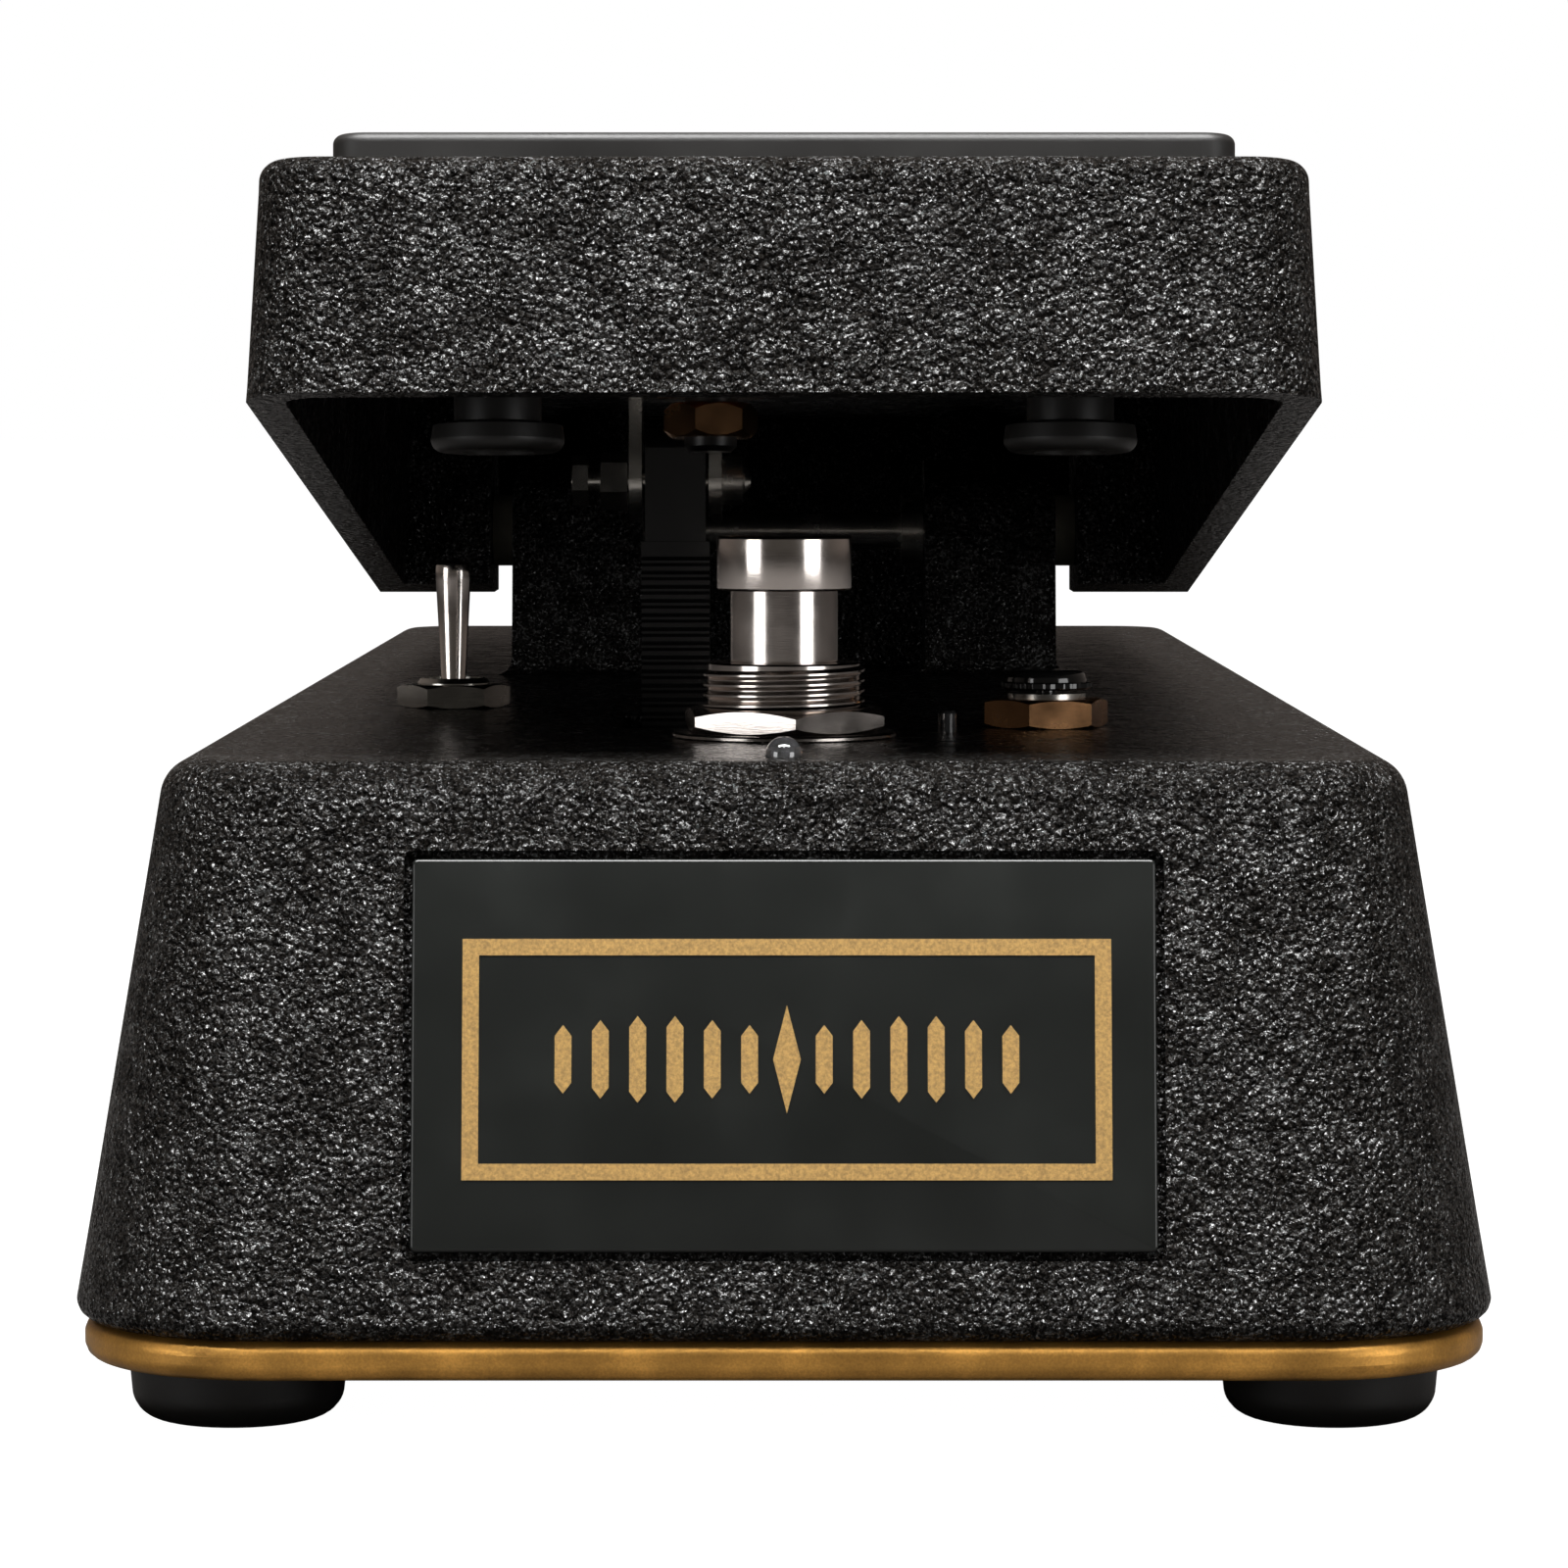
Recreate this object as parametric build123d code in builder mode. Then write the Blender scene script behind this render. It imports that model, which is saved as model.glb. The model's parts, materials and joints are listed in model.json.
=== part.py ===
"""Rocker wah pedal: a die-cast base, a sprung-free rocking treadle, and a rack that turns the pot.

Millimetres. X is right as seen from the toe end, -Y is the toe end, +Z is up. The pedal stands
on its feet at Z = 0 and rests heel down, which is the zero of every joint.
"""
from math import cos, pi, radians, sin, tan
import os

from build123d import *

os.makedirs("parts", exist_ok=True)

# ---- base casting -------------------------------------------------------------------------
BASE_LENGTH = 254.0
BASE_WIDTH = 100.0
BASE_CORNER = 14.0
FOOT_HEIGHT = 4.7
PLATE_THICKNESS = 2.8
PLATE_CORNER = 13.0
PLATE_INSET = 0.8
SHELL_BOTTOM = FOOT_HEIGHT + PLATE_THICKNESS
DECK_TOP = 46.7
DECK_THICKNESS = 3.0
DECK_UNDER = DECK_TOP - DECK_THICKNESS
WALL = 3.0
BASE_DRAFT = 9.76
DECK_EDGE_RADIUS = 2.8
LOWER_EDGE_RADIUS = 1.2
FOOT_X = 38.6
FOOT_Y = 112.0
FOOT_DIAMETER = 15.6
BOSS_DIAMETER = 8.0

# ---- hinge and treadle ----------------------------------------------------------------------
HINGE_Y = 15.0
HINGE_Z = 59.7
REST_TILT = 3.78
ROD_DIAMETER = 3.6
ROD_BORE = ROD_DIAMETER + 0.1
PILLAR_INNER_X = 13.0
PILLAR_OUTER_X = 25.0
CROSS_WALL_Y = 5.1
CROSS_WALL_THICKNESS = 2.6
CROSS_WALL_TOP = 59.9
LUG_INNER_X = 27.0
LUG_OUTER_X = 35.0
TREADLE_TOP = 19.65
TREADLE_APEX = -5.76
TREADLE_FRONT = -136.9
TREADLE_REAR = 107.6
TREADLE_WIDTH = 72.3
TREADLE_DRAFT = 3.4
TREADLE_CORNER = 4.5
TREADLE_WALL = 2.5
TREADLE_ROOF = 3.0
PAD_WIDTH = 62.7
PAD_THICKNESS = 2.1
PAD_MARGIN = 4.6
RIB_PITCH = 4.0
RIB_GROOVE = 1.4
RIB_DEPTH = 0.8
BUMPER_X = 20.3
TOE_BUMPER_Y = -107.0
TOE_BUMPER_Z = 67.9
HEEL_BUMPER_Y = 103.0
BRACKET_SCREW_X = -5.6
BRACKET_SCREW_Y = -76.4
BRACKET_WEB_TOP = 73.7

# ---- what stands on the deck ------------------------------------------------------------------
SWITCH_Y = -90.0
BUSHING_DIAMETER = 12.0
THREAD_PITCH = 0.75
BUSHING_TOP = 52.3
SWITCH_WASHER = 0.45
SWITCH_NUT = 1.8
CAP_DIAMETER = 10.0
CAP_BOTTOM = 57.6
CAP_TOP = 61.7
STEM_DIAMETER = 8.0
TOGGLE_X = -27.0
TOGGLE_Y = -49.0
LEVER_PIVOT_Z = 46.2
LEVER_TOP = 58.6
BEZEL_X = 20.1
BEZEL_Y = -77.0
LIGHT_Y = -113.0
STUB_X = 12.3
STUB_Y = -84.0

# ---- rack, pinion and pot -----------------------------------------------------------------------
RACK_X = -8.45
RACK_WIDTH = 5.3
TONGUE_WIDTH = 4.7
RACK_SLOT_WIDTH = 8.5
RACK_SLOT_FRONT = -79.4
RACK_SLOT_REAR = -63.3
TOOTH_MODULE = 0.35
PINION_TEETH = 22
PINION_RADIUS = TOOTH_MODULE * PINION_TEETH / 2
PITCH = pi * TOOTH_MODULE
RACK_PITCH_Y = -69.95
RACK_BACK_Y = -65.0
RACK_BOLT_Y = -67.0
RACK_BOLT_Z = 65.4
RACK_BOTTOM = 24.0
TEETH_TOP = 59.7
PINION_Y = RACK_PITCH_Y - PINION_RADIUS - 0.12
PINION_Z = 30.0
POT_DIAMETER = 24.0
BRACKET_SCREW_SPOTS = [(-20.5, PINION_Y - 13.0), (-20.5, PINION_Y + 13.0)]

# ---- sockets on the two long sides -----------------------------------------------------------
SOCKET_Z = 26.5
JACK_Y = 42.0
JACK_BORE = 6.5
POWER_Y = 72.0
SIDE_X_AT_SOCKET = BASE_WIDTH / 2 - (SOCKET_Z - SHELL_BOTTOM) * tan(radians(BASE_DRAFT))

# The treadle is drawn level in its own plane: u = local Y towards the heel, w = local Z.
TREADLE = Plane(
    origin=(0, HINGE_Y, HINGE_Z),
    x_dir=(1, 0, 0),
    z_dir=(0, sin(radians(REST_TILT)), cos(radians(REST_TILT))),
)
TREADLE_LENGTH = TREADLE_REAR - TREADLE_FRONT
TREADLE_MIDDLE = (TREADLE_REAR + TREADLE_FRONT) / 2
ROOF_UNDER = TREADLE_TOP - TREADLE_ROOF
V_SLOPE = tan(radians(REST_TILT))


def treadle_level(height):
    """The treadle's plane, raised by a height along its own normal."""
    return TREADLE.offset(height)


def to_treadle(y, z):
    """A point of the pedal at rest, given in the treadle's own (u, w)."""
    local = TREADLE.to_local_coords(Vector(0, y, z))
    return local.Y, local.Z


def save(builder, name):
    """Label one finished piece and write it as its own node."""
    builder.part.label = name
    export_step(builder.part, f"parts/{name}.step")


def profile_plane(x, y, z=0.0):
    """An upright plane through a vertical axis, for the half profile of a turned piece."""
    return Plane(origin=(x, y, z), x_dir=(1, 0, 0), z_dir=(0, -1, 0))


def side_wall_plane(y, side):
    """A plane lying on the sloping outside of a long side wall, its normal pointing out."""
    return Plane(
        origin=(side * SIDE_X_AT_SOCKET, y, SOCKET_Z),
        x_dir=(0, 1, 0),
        z_dir=(side * cos(radians(BASE_DRAFT)), 0, sin(radians(BASE_DRAFT))),
    )


FRONT_MIDDLE_Z = 26.9
FRONT_FACE = Plane(
    origin=(0, -BASE_LENGTH / 2 + (FRONT_MIDDLE_Z - SHELL_BOTTOM) * tan(radians(BASE_DRAFT)),
            FRONT_MIDDLE_Z),
    x_dir=(1, 0, 0),
    z_dir=(0, -cos(radians(BASE_DRAFT)), sin(radians(BASE_DRAFT))),
)
BADGE_WIDTH = 51.0
BADGE_HEIGHT = 26.9
BADGE_THICKNESS = 1.0
RECESS_DEPTH = 0.7

# ---- base shell ----------------------------------------------------------------------------
with BuildPart() as base_shell:
    with BuildSketch(Plane.XY.offset(SHELL_BOTTOM)):
        RectangleRounded(BASE_WIDTH, BASE_LENGTH, BASE_CORNER)
    extrude(amount=DECK_TOP - SHELL_BOTTOM, taper=BASE_DRAFT)
    fillet(base_shell.faces().sort_by(Axis.Z)[-1].edges(), DECK_EDGE_RADIUS)
    fillet(base_shell.faces().sort_by(Axis.Z)[0].edges(), LOWER_EDGE_RADIUS)
    with BuildSketch(Plane.XY.offset(SHELL_BOTTOM)):
        RectangleRounded(BASE_WIDTH - 2 * WALL, BASE_LENGTH - 2 * WALL, BASE_CORNER - WALL)
    extrude(amount=DECK_UNDER - SHELL_BOTTOM, taper=BASE_DRAFT, mode=Mode.SUBTRACT)
    # Screw bosses in the corners run down from the deck to the bottom plate.
    with BuildSketch(Plane.XY.offset(SHELL_BOTTOM)):
        with GridLocations(2 * FOOT_X, 2 * FOOT_Y, 2, 2):
            Circle(BOSS_DIAMETER / 2)
    extrude(amount=DECK_UNDER - SHELL_BOTTOM + 1)
    with Locations(Plane.XY.offset(SHELL_BOTTOM)):
        with GridLocations(2 * FOOT_X, 2 * FOOT_Y, 2, 2):
            Cylinder(1.45, 24, mode=Mode.SUBTRACT)
    # Two cast pillars carry the hinge rod.
    with BuildSketch(Plane.YZ.offset(PILLAR_INNER_X)):
        with BuildLine():
            Polyline((HINGE_Y - 9.0, DECK_TOP - 1), (HINGE_Y - 6.6, HINGE_Z))
            ThreePointArc((HINGE_Y - 6.6, HINGE_Z), (HINGE_Y, HINGE_Z + 6.6), (HINGE_Y + 6.6, HINGE_Z))
            Polyline((HINGE_Y + 6.6, HINGE_Z), (HINGE_Y + 9.0, DECK_TOP - 1),
                     (HINGE_Y - 9.0, DECK_TOP - 1))
        make_face()
    pillar = extrude(amount=PILLAR_OUTER_X - PILLAR_INNER_X)
    mirror(pillar, about=Plane.YZ)
    # A cross wall behind the rod stiffens the pillars.
    with BuildSketch(Plane.YZ.offset(-PILLAR_INNER_X - 1)):
        with Locations((HINGE_Y + CROSS_WALL_Y, (DECK_TOP - 1 + CROSS_WALL_TOP) / 2)):
            Rectangle(CROSS_WALL_THICKNESS, CROSS_WALL_TOP - DECK_TOP + 1)
    extrude(amount=2 * PILLAR_INNER_X + 2)
    foot_edges = base_shell.edges().filter_by_position(
        Axis.Z, DECK_TOP - 0.01, DECK_TOP + 0.01).filter_by(
        lambda e: abs(e.center().X) < PILLAR_OUTER_X + 1 and abs(e.center().Y - HINGE_Y) < 11)
    fillet(foot_edges, 1.4)
    with BuildSketch(Plane.YZ.offset(-LUG_OUTER_X)):
        with Locations((HINGE_Y, HINGE_Z)):
            Circle(ROD_DIAMETER / 2)
    extrude(amount=2 * LUG_OUTER_X, mode=Mode.SUBTRACT)
    # Holes in the deck: footswitch, toggle, status light, bezel and its small stub, rack slot.
    with BuildSketch(Plane.XY.offset(DECK_TOP + 1)):
        with Locations((0, SWITCH_Y)):
            Circle(BUSHING_DIAMETER / 2 + 0.1)
        with Locations((TOGGLE_X, TOGGLE_Y)):
            Circle(3.0)
        with Locations((0, LIGHT_Y)):
            Circle(1.35)
        with Locations((BEZEL_X, BEZEL_Y)):
            Circle(3.1)
        with Locations((STUB_X, STUB_Y)):
            Circle(0.75)
        with Locations((RACK_X, (RACK_SLOT_REAR + RACK_SLOT_FRONT) / 2)):
            Rectangle(RACK_SLOT_WIDTH, RACK_SLOT_REAR - RACK_SLOT_FRONT)
    extrude(amount=-DECK_THICKNESS - 2, mode=Mode.SUBTRACT)
    with BuildSketch(Plane.XY.offset(DECK_UNDER)):
        with Locations(*BRACKET_SCREW_SPOTS):
            Circle(1.6)
    extrude(amount=1.7, mode=Mode.SUBTRACT)
    # A shallow recess in the toe end takes the name plate.
    with BuildSketch(FRONT_FACE.offset(-RECESS_DEPTH)):
        RectangleRounded(BADGE_WIDTH + 1.2, BADGE_HEIGHT + 1.2, 0.8)
    extrude(amount=4, mode=Mode.SUBTRACT)
    # Round holes for the two jacks and the power socket.
    for side in (-1, 1):
        with BuildSketch(side_wall_plane(JACK_Y, side).offset(3)):
            Circle(4.8)
        extrude(amount=-12, mode=Mode.SUBTRACT)
    with BuildSketch(side_wall_plane(POWER_Y, 1).offset(3)):
        Circle(6.0)
    extrude(amount=-12, mode=Mode.SUBTRACT)
save(base_shell, "base_shell")

# ---- bottom plate, feet and their screws ------------------------------------------------------
with BuildPart() as bottom_plate:
    with BuildSketch(Plane.XY.offset(FOOT_HEIGHT)):
        RectangleRounded(BASE_WIDTH - 2 * PLATE_INSET, BASE_LENGTH - 2 * PLATE_INSET, PLATE_CORNER)
        with GridLocations(2 * FOOT_X, 2 * FOOT_Y, 2, 2):
            Circle(1.75, mode=Mode.SUBTRACT)
    extrude(amount=PLATE_THICKNESS)
    outline = bottom_plate.edges().filter_by(GeomType.CIRCLE, reverse=True).filter_by_position(
        Axis.Z, FOOT_HEIGHT, SHELL_BOTTOM).filter_by(Axis.Z, reverse=True)
    corners = bottom_plate.edges().filter_by(GeomType.CIRCLE).filter_by(
        lambda e: e.radius > PLATE_CORNER - 0.1)
    fillet(outline + corners, 1.1)
save(bottom_plate, "bottom_plate")

with BuildPart() as rubber_feet:
    for x in (-FOOT_X, FOOT_X):
        for y in (-FOOT_Y, FOOT_Y):
            with BuildSketch(profile_plane(x, y)):
                with BuildLine():
                    Polyline((1.75, 2.6), (3.9, 2.6), (3.9, 0), (FOOT_DIAMETER / 2 - 2.3, 0))
                    RadiusArc((FOOT_DIAMETER / 2 - 2.3, 0), (FOOT_DIAMETER / 2 - 0.3, 2.0), -2.1)
                    Polyline((FOOT_DIAMETER / 2 - 0.3, 2.0), (FOOT_DIAMETER / 2, FOOT_HEIGHT),
                             (1.75, FOOT_HEIGHT), (1.75, 2.6))
                make_face()
            revolve(axis=Axis((x, y, 0), (0, 0, 1)))
save(rubber_feet, "rubber_feet")

with BuildPart() as foot_screws:
    for x in (-FOOT_X, FOOT_X):
        for y in (-FOOT_Y, FOOT_Y):
            with BuildSketch(profile_plane(x, y)):
                with BuildLine():
                    Polyline((0, 0.9), (1.6, 0.9))
                    RadiusArc((1.6, 0.9), (3.1, 2.6), -2.4)
                    Polyline((3.1, 2.6), (1.45, 2.6), (1.45, 17.5), (0, 18.9), (0, 0.9))
                make_face()
            revolve(axis=Axis((x, y, 0), (0, 0, 1)))
            with BuildSketch(Plane.XY.offset(0.9)):
                with Locations((x, y)):
                    Rectangle(2.9, 0.55)
                    Rectangle(0.55, 2.9)
            extrude(amount=1.1, mode=Mode.SUBTRACT)
save(foot_screws, "foot_screws")

# ---- name plate ------------------------------------------------------------------------------
with BuildPart() as name_plate:
    with BuildSketch(FRONT_FACE.offset(-RECESS_DEPTH)):
        RectangleRounded(BADGE_WIDTH, BADGE_HEIGHT, 0.5)
    extrude(amount=BADGE_THICKNESS)
    chamfer(name_plate.faces().sort_by(Axis((0, 0, 0), FRONT_FACE.z_dir))[-1].edges(), 0.22)
save(name_plate, "name_plate")

# ---- hinge rod and its retaining rings ---------------------------------------------------------
with BuildPart() as hinge_rod:
    with BuildSketch(Plane.YZ.offset(-LUG_OUTER_X + 2.4)):
        with Locations((HINGE_Y, HINGE_Z)):
            Circle(ROD_DIAMETER / 2)
    extrude(amount=2 * LUG_OUTER_X - 4.8)
    chamfer(hinge_rod.edges().filter_by(GeomType.CIRCLE), 0.4)
save(hinge_rod, "hinge_rod")

with BuildPart() as hinge_collars:
    for x in (-PILLAR_INNER_X + 0.1, PILLAR_INNER_X - 2.1):
        with BuildSketch(Plane.YZ.offset(x)):
            with Locations((HINGE_Y, HINGE_Z)):
                Circle(3.4)
                Circle(ROD_DIAMETER / 2, mode=Mode.SUBTRACT)
        extrude(amount=2.0)
save(hinge_collars, "hinge_collars")

# ---- treadle shell ---------------------------------------------------------------------------
with BuildPart() as treadle_shell:
    with BuildSketch(treadle_level(TREADLE_TOP)):
        with Locations((0, TREADLE_MIDDLE)):
            RectangleRounded(TREADLE_WIDTH, TREADLE_LENGTH, TREADLE_CORNER)
    extrude(amount=-(TREADLE_TOP - TREADLE_APEX), taper=-TREADLE_DRAFT)
    top_face = treadle_shell.faces().sort_by(Axis((0, 0, 0), TREADLE.z_dir))[-1]
    fillet(top_face.edges(), 1.5)
    with BuildSketch(treadle_level(ROOF_UNDER)):
        with Locations((0, TREADLE_MIDDLE)):
            RectangleRounded(TREADLE_WIDTH - 2 * TREADLE_WALL, TREADLE_LENGTH - 2 * TREADLE_WALL,
                             TREADLE_CORNER - 2.0)
    extrude(amount=-(ROOF_UNDER - TREADLE_APEX) - 1, taper=-TREADLE_DRAFT, mode=Mode.SUBTRACT)
    # Tall lugs stand inside the skirts where the hinge rod enters.
    for side in (-1, 1):
        with BuildSketch(treadle_level(ROOF_UNDER + 0.5)):
            with Locations((side * (LUG_INNER_X + LUG_OUTER_X) / 2, 0)):
                Rectangle(LUG_OUTER_X - LUG_INNER_X, 15)
        extrude(amount=-(ROOF_UNDER + 0.5 - TREADLE_APEX))
    # Posts for the four bumpers, the boss of the rack bracket and the pad over the footswitch.
    toe_u, toe_w = to_treadle(TOE_BUMPER_Y, TOE_BUMPER_Z)
    heel_u, heel_w = to_treadle(HEEL_BUMPER_Y, DECK_TOP + 0.35)
    bracket_u, bracket_w = to_treadle(BRACKET_SCREW_Y, BRACKET_WEB_TOP)
    with BuildSketch(treadle_level(ROOF_UNDER + 0.5)):
        with Locations(*[(x, u) for x in (-BUMPER_X, BUMPER_X) for u in (toe_u, heel_u)]):
            Circle(4.2)
        with Locations((BRACKET_SCREW_X, bracket_u)):
            Circle(4.6)
    extrude(amount=-(ROOF_UNDER + 0.5 - bracket_w))
    with BuildSketch(treadle_level(bracket_w)):
        with Locations((-BUMPER_X, toe_u), (BUMPER_X, toe_u)):
            Circle(4.2)
    extrude(amount=-(bracket_w - toe_w - 4.6))
    with BuildSketch(treadle_level(bracket_w)):
        with Locations((-BUMPER_X, heel_u), (BUMPER_X, heel_u)):
            Circle(4.2)
    extrude(amount=-(bracket_w - heel_w - 4.6))
    # The long edges of the skirt form a shallow V whose point is at the hinge.
    with BuildSketch(Plane(origin=TREADLE.origin, x_dir=TREADLE.y_dir, z_dir=(1, 0, 0))):
        with BuildLine():
            Polyline((-160, TREADLE_APEX + 160 * V_SLOPE), (0, TREADLE_APEX),
                     (160, TREADLE_APEX + 160 * V_SLOPE), (160, -40), (-160, -40),
                     (-160, TREADLE_APEX + 160 * V_SLOPE))
        make_face()
    v_cut = extrude(amount=60, both=True, mode=Mode.PRIVATE)
    with BuildSketch(treadle_level(-30)):
        with Locations((-BUMPER_X, heel_u), (BUMPER_X, heel_u)):
            Circle(4.3)
    heel_posts = extrude(amount=60, mode=Mode.PRIVATE)
    add(v_cut - heel_posts, mode=Mode.SUBTRACT)
    # Rod bores in the lugs and the bracket screw's clearance hole with its countersink.
    with BuildSketch(Plane.YZ.offset(-LUG_OUTER_X + 2.0)):
        with Locations((HINGE_Y, HINGE_Z)):
            Circle(ROD_BORE / 2)
    extrude(amount=2 * LUG_OUTER_X - 4.0, mode=Mode.SUBTRACT)
    with BuildSketch(treadle_level(TREADLE_TOP)):
        with Locations((BRACKET_SCREW_X, bracket_u)):
            Circle(2.1)
    extrude(amount=-20, mode=Mode.SUBTRACT)
    with BuildSketch(treadle_level(TREADLE_TOP)):
        with Locations((BRACKET_SCREW_X, bracket_u)):
            Circle(4.2)
    extrude(amount=-2.1, taper=45, mode=Mode.SUBTRACT)
    with BuildSketch(treadle_level(ROOF_UNDER)):
        with Locations(*[(x, u) for x in (-BUMPER_X, BUMPER_X) for u in (toe_u, heel_u)]):
            Circle(1.3)
    extrude(amount=-24, mode=Mode.SUBTRACT)
save(treadle_shell, "treadle_shell")

# ---- tread pad, bumpers, striker ---------------------------------------------------------------
PAD_LENGTH = TREADLE_LENGTH - 2 * PAD_MARGIN
with BuildPart() as tread_pad:
    with BuildSketch(treadle_level(TREADLE_TOP)):
        with Locations((0, TREADLE_MIDDLE)):
            RectangleRounded(PAD_WIDTH, PAD_LENGTH, 2.5)
    extrude(amount=PAD_THICKNESS)
    fillet(tread_pad.faces().sort_by(Axis((0, 0, 0), TREADLE.z_dir))[-1].edges(), 0.7)
    rib_count = int((PAD_LENGTH - 16) / RIB_PITCH)
    with BuildSketch(treadle_level(TREADLE_TOP + PAD_THICKNESS - RIB_DEPTH)):
        with Locations((0, TREADLE_MIDDLE)):
            with GridLocations(PAD_WIDTH, RIB_PITCH, 1, rib_count):
                SlotOverall(PAD_WIDTH - 9, RIB_GROOVE)
    extrude(amount=RIB_DEPTH + 1, mode=Mode.SUBTRACT)
save(tread_pad, "tread_pad")


def bumper_pair(u, bottom_w, builder_name):
    """Two mushroom-shaped rubber stops on their posts, at one distance from the hinge."""
    with BuildPart() as bumpers:
        for x in (-BUMPER_X, BUMPER_X):
            origin = TREADLE.from_local_coords((x, u, bottom_w))
            with BuildSketch(Plane(origin=origin, x_dir=(1, 0, 0), z_dir=-TREADLE.y_dir)):
                with BuildLine():
                    Polyline((1.3, 1.4), (2.6, 1.4), (2.6, 0), (3.9, 0))
                    RadiusArc((3.9, 0), (4.75, 0.9), -0.9)
                    Polyline((4.75, 0.9), (4.6, 1.9), (3.1, 2.2), (3.1, 4.6), (1.3, 4.6),
                             (1.3, 1.4))
                make_face()
            revolve(axis=Axis(origin, TREADLE.z_dir))
    save(bumpers, builder_name)


def bumper_screw_pair(u, bottom_w, builder_name):
    """The pan-head screws that hold one pair of bumpers to their posts."""
    with BuildPart() as screws:
        for x in (-BUMPER_X, BUMPER_X):
            origin = TREADLE.from_local_coords((x, u, bottom_w))
            with BuildSketch(Plane(origin=origin, x_dir=(1, 0, 0), z_dir=-TREADLE.y_dir)):
                with BuildLine():
                    Polyline((0, 0.35), (1.5, 0.35))
                    RadiusArc((1.5, 0.35), (2.3, 1.4), -1.2)
                    Polyline((2.3, 1.4), (1.3, 1.4), (1.3, 10.0), (0, 10.6), (0, 0.35))
                make_face()
            revolve(axis=Axis(origin, TREADLE.z_dir))
    save(screws, builder_name)


bumper_pair(toe_u, toe_w, "toe_bumpers")
bumper_pair(heel_u, heel_w, "heel_bumpers")
bumper_screw_pair(toe_u, toe_w, "toe_bumper_screws")
bumper_screw_pair(heel_u, heel_w, "heel_bumper_screws")

striker_u, _ = to_treadle(SWITCH_Y + 3.0, 80.0)
with BuildPart() as striker_pad:
    with BuildSketch(treadle_level(ROOF_UNDER)):
        with Locations((0, striker_u)):
            Circle(6.5)
    extrude(amount=-2.1)
    fillet(striker_pad.edges().filter_by(GeomType.CIRCLE).sort_by(Axis.Z)[0], 0.7)
save(striker_pad, "striker_pad")

# ---- hinge bushes in the lugs --------------------------------------------------------------
with BuildPart() as hinge_washers:
    for side in (-1, 1):
        with BuildSketch(Plane.YZ.offset(side * (PILLAR_OUTER_X + 0.15))):
            with Locations((HINGE_Y, HINGE_Z)):
                Circle(3.3)
                Circle(ROD_BORE / 2, mode=Mode.SUBTRACT)
        extrude(amount=side * (LUG_INNER_X - PILLAR_OUTER_X - 0.15))
save(hinge_washers, "hinge_washers")

# ---- rack bracket and its fasteners --------------------------------------------------------------
WEB_THICKNESS = 1.2
CHEEK_THICKNESS = 1.0
CHEEK_GAP = 5.2
CHEEK_INNER = CHEEK_GAP / 2
bolt_u, bolt_w = to_treadle(RACK_BOLT_Y, RACK_BOLT_Z)
WEB_W = bracket_w - WEB_THICKNESS
with BuildPart() as rack_bracket:
    with BuildSketch(treadle_level(WEB_W)):
        with Locations((RACK_X, (bracket_u + bolt_u) / 2)):
            Rectangle(2 * CHEEK_INNER + 2 * CHEEK_THICKNESS, 20)
        with Locations((BRACKET_SCREW_X, bracket_u)):
            Rectangle(10.4, 9.4)
    extrude(amount=WEB_THICKNESS)
    for cheek_x in (RACK_X - CHEEK_INNER - CHEEK_THICKNESS, RACK_X + CHEEK_INNER):
        with BuildSketch(Plane(origin=TREADLE.origin + Vector(cheek_x, 0, 0),
                               x_dir=TREADLE.y_dir, z_dir=(1, 0, 0))):
            with BuildLine():
                Line((bolt_u - 3.2, bolt_w), (bolt_u - 3.2, WEB_W + 0.6))
                Line((bolt_u - 3.2, WEB_W + 0.6), (bolt_u + 3.2, WEB_W + 0.6))
                Line((bolt_u + 3.2, WEB_W + 0.6), (bolt_u + 3.2, bolt_w))
                ThreePointArc((bolt_u + 3.2, bolt_w), (bolt_u, bolt_w - 3.2), (bolt_u - 3.2, bolt_w))
            make_face()
            with Locations((bolt_u, bolt_w)):
                Circle(1.02, mode=Mode.SUBTRACT)
        extrude(amount=CHEEK_THICKNESS)
    with BuildSketch(treadle_level(WEB_W)):
        with Locations((BRACKET_SCREW_X, bracket_u)):
            Circle(2.05)
    extrude(amount=3, mode=Mode.SUBTRACT)
save(rack_bracket, "rack_bracket")

with BuildPart() as bracket_screw:
    with BuildSketch(treadle_level(TREADLE_TOP - 0.05)):
        with Locations((BRACKET_SCREW_X, bracket_u)):
            Circle(3.95)
    extrude(amount=-1.95, taper=45)
    with BuildSketch(treadle_level(TREADLE_TOP - 1.5)):
        with Locations((BRACKET_SCREW_X, bracket_u)):
            Circle(2.0)
    extrude(amount=-(TREADLE_TOP - 1.5 - (WEB_W - 4.8)))
    chamfer(bracket_screw.edges().filter_by(GeomType.CIRCLE).sort_by(Axis.Z)[0], 0.4)
    with BuildSketch(treadle_level(TREADLE_TOP - 0.05)):
        with Locations((BRACKET_SCREW_X, bracket_u)):
            Rectangle(5.2, 0.9)
            Rectangle(0.9, 5.2)
    extrude(amount=-1.2, mode=Mode.SUBTRACT)
save(bracket_screw, "bracket_screw")

with BuildPart() as bracket_washer:
    with BuildSketch(treadle_level(WEB_W)):
        with Locations((BRACKET_SCREW_X, bracket_u)):
            Circle(4.1)
            Circle(2.0, mode=Mode.SUBTRACT)
    extrude(amount=-0.7)
save(bracket_washer, "bracket_washer")

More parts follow.
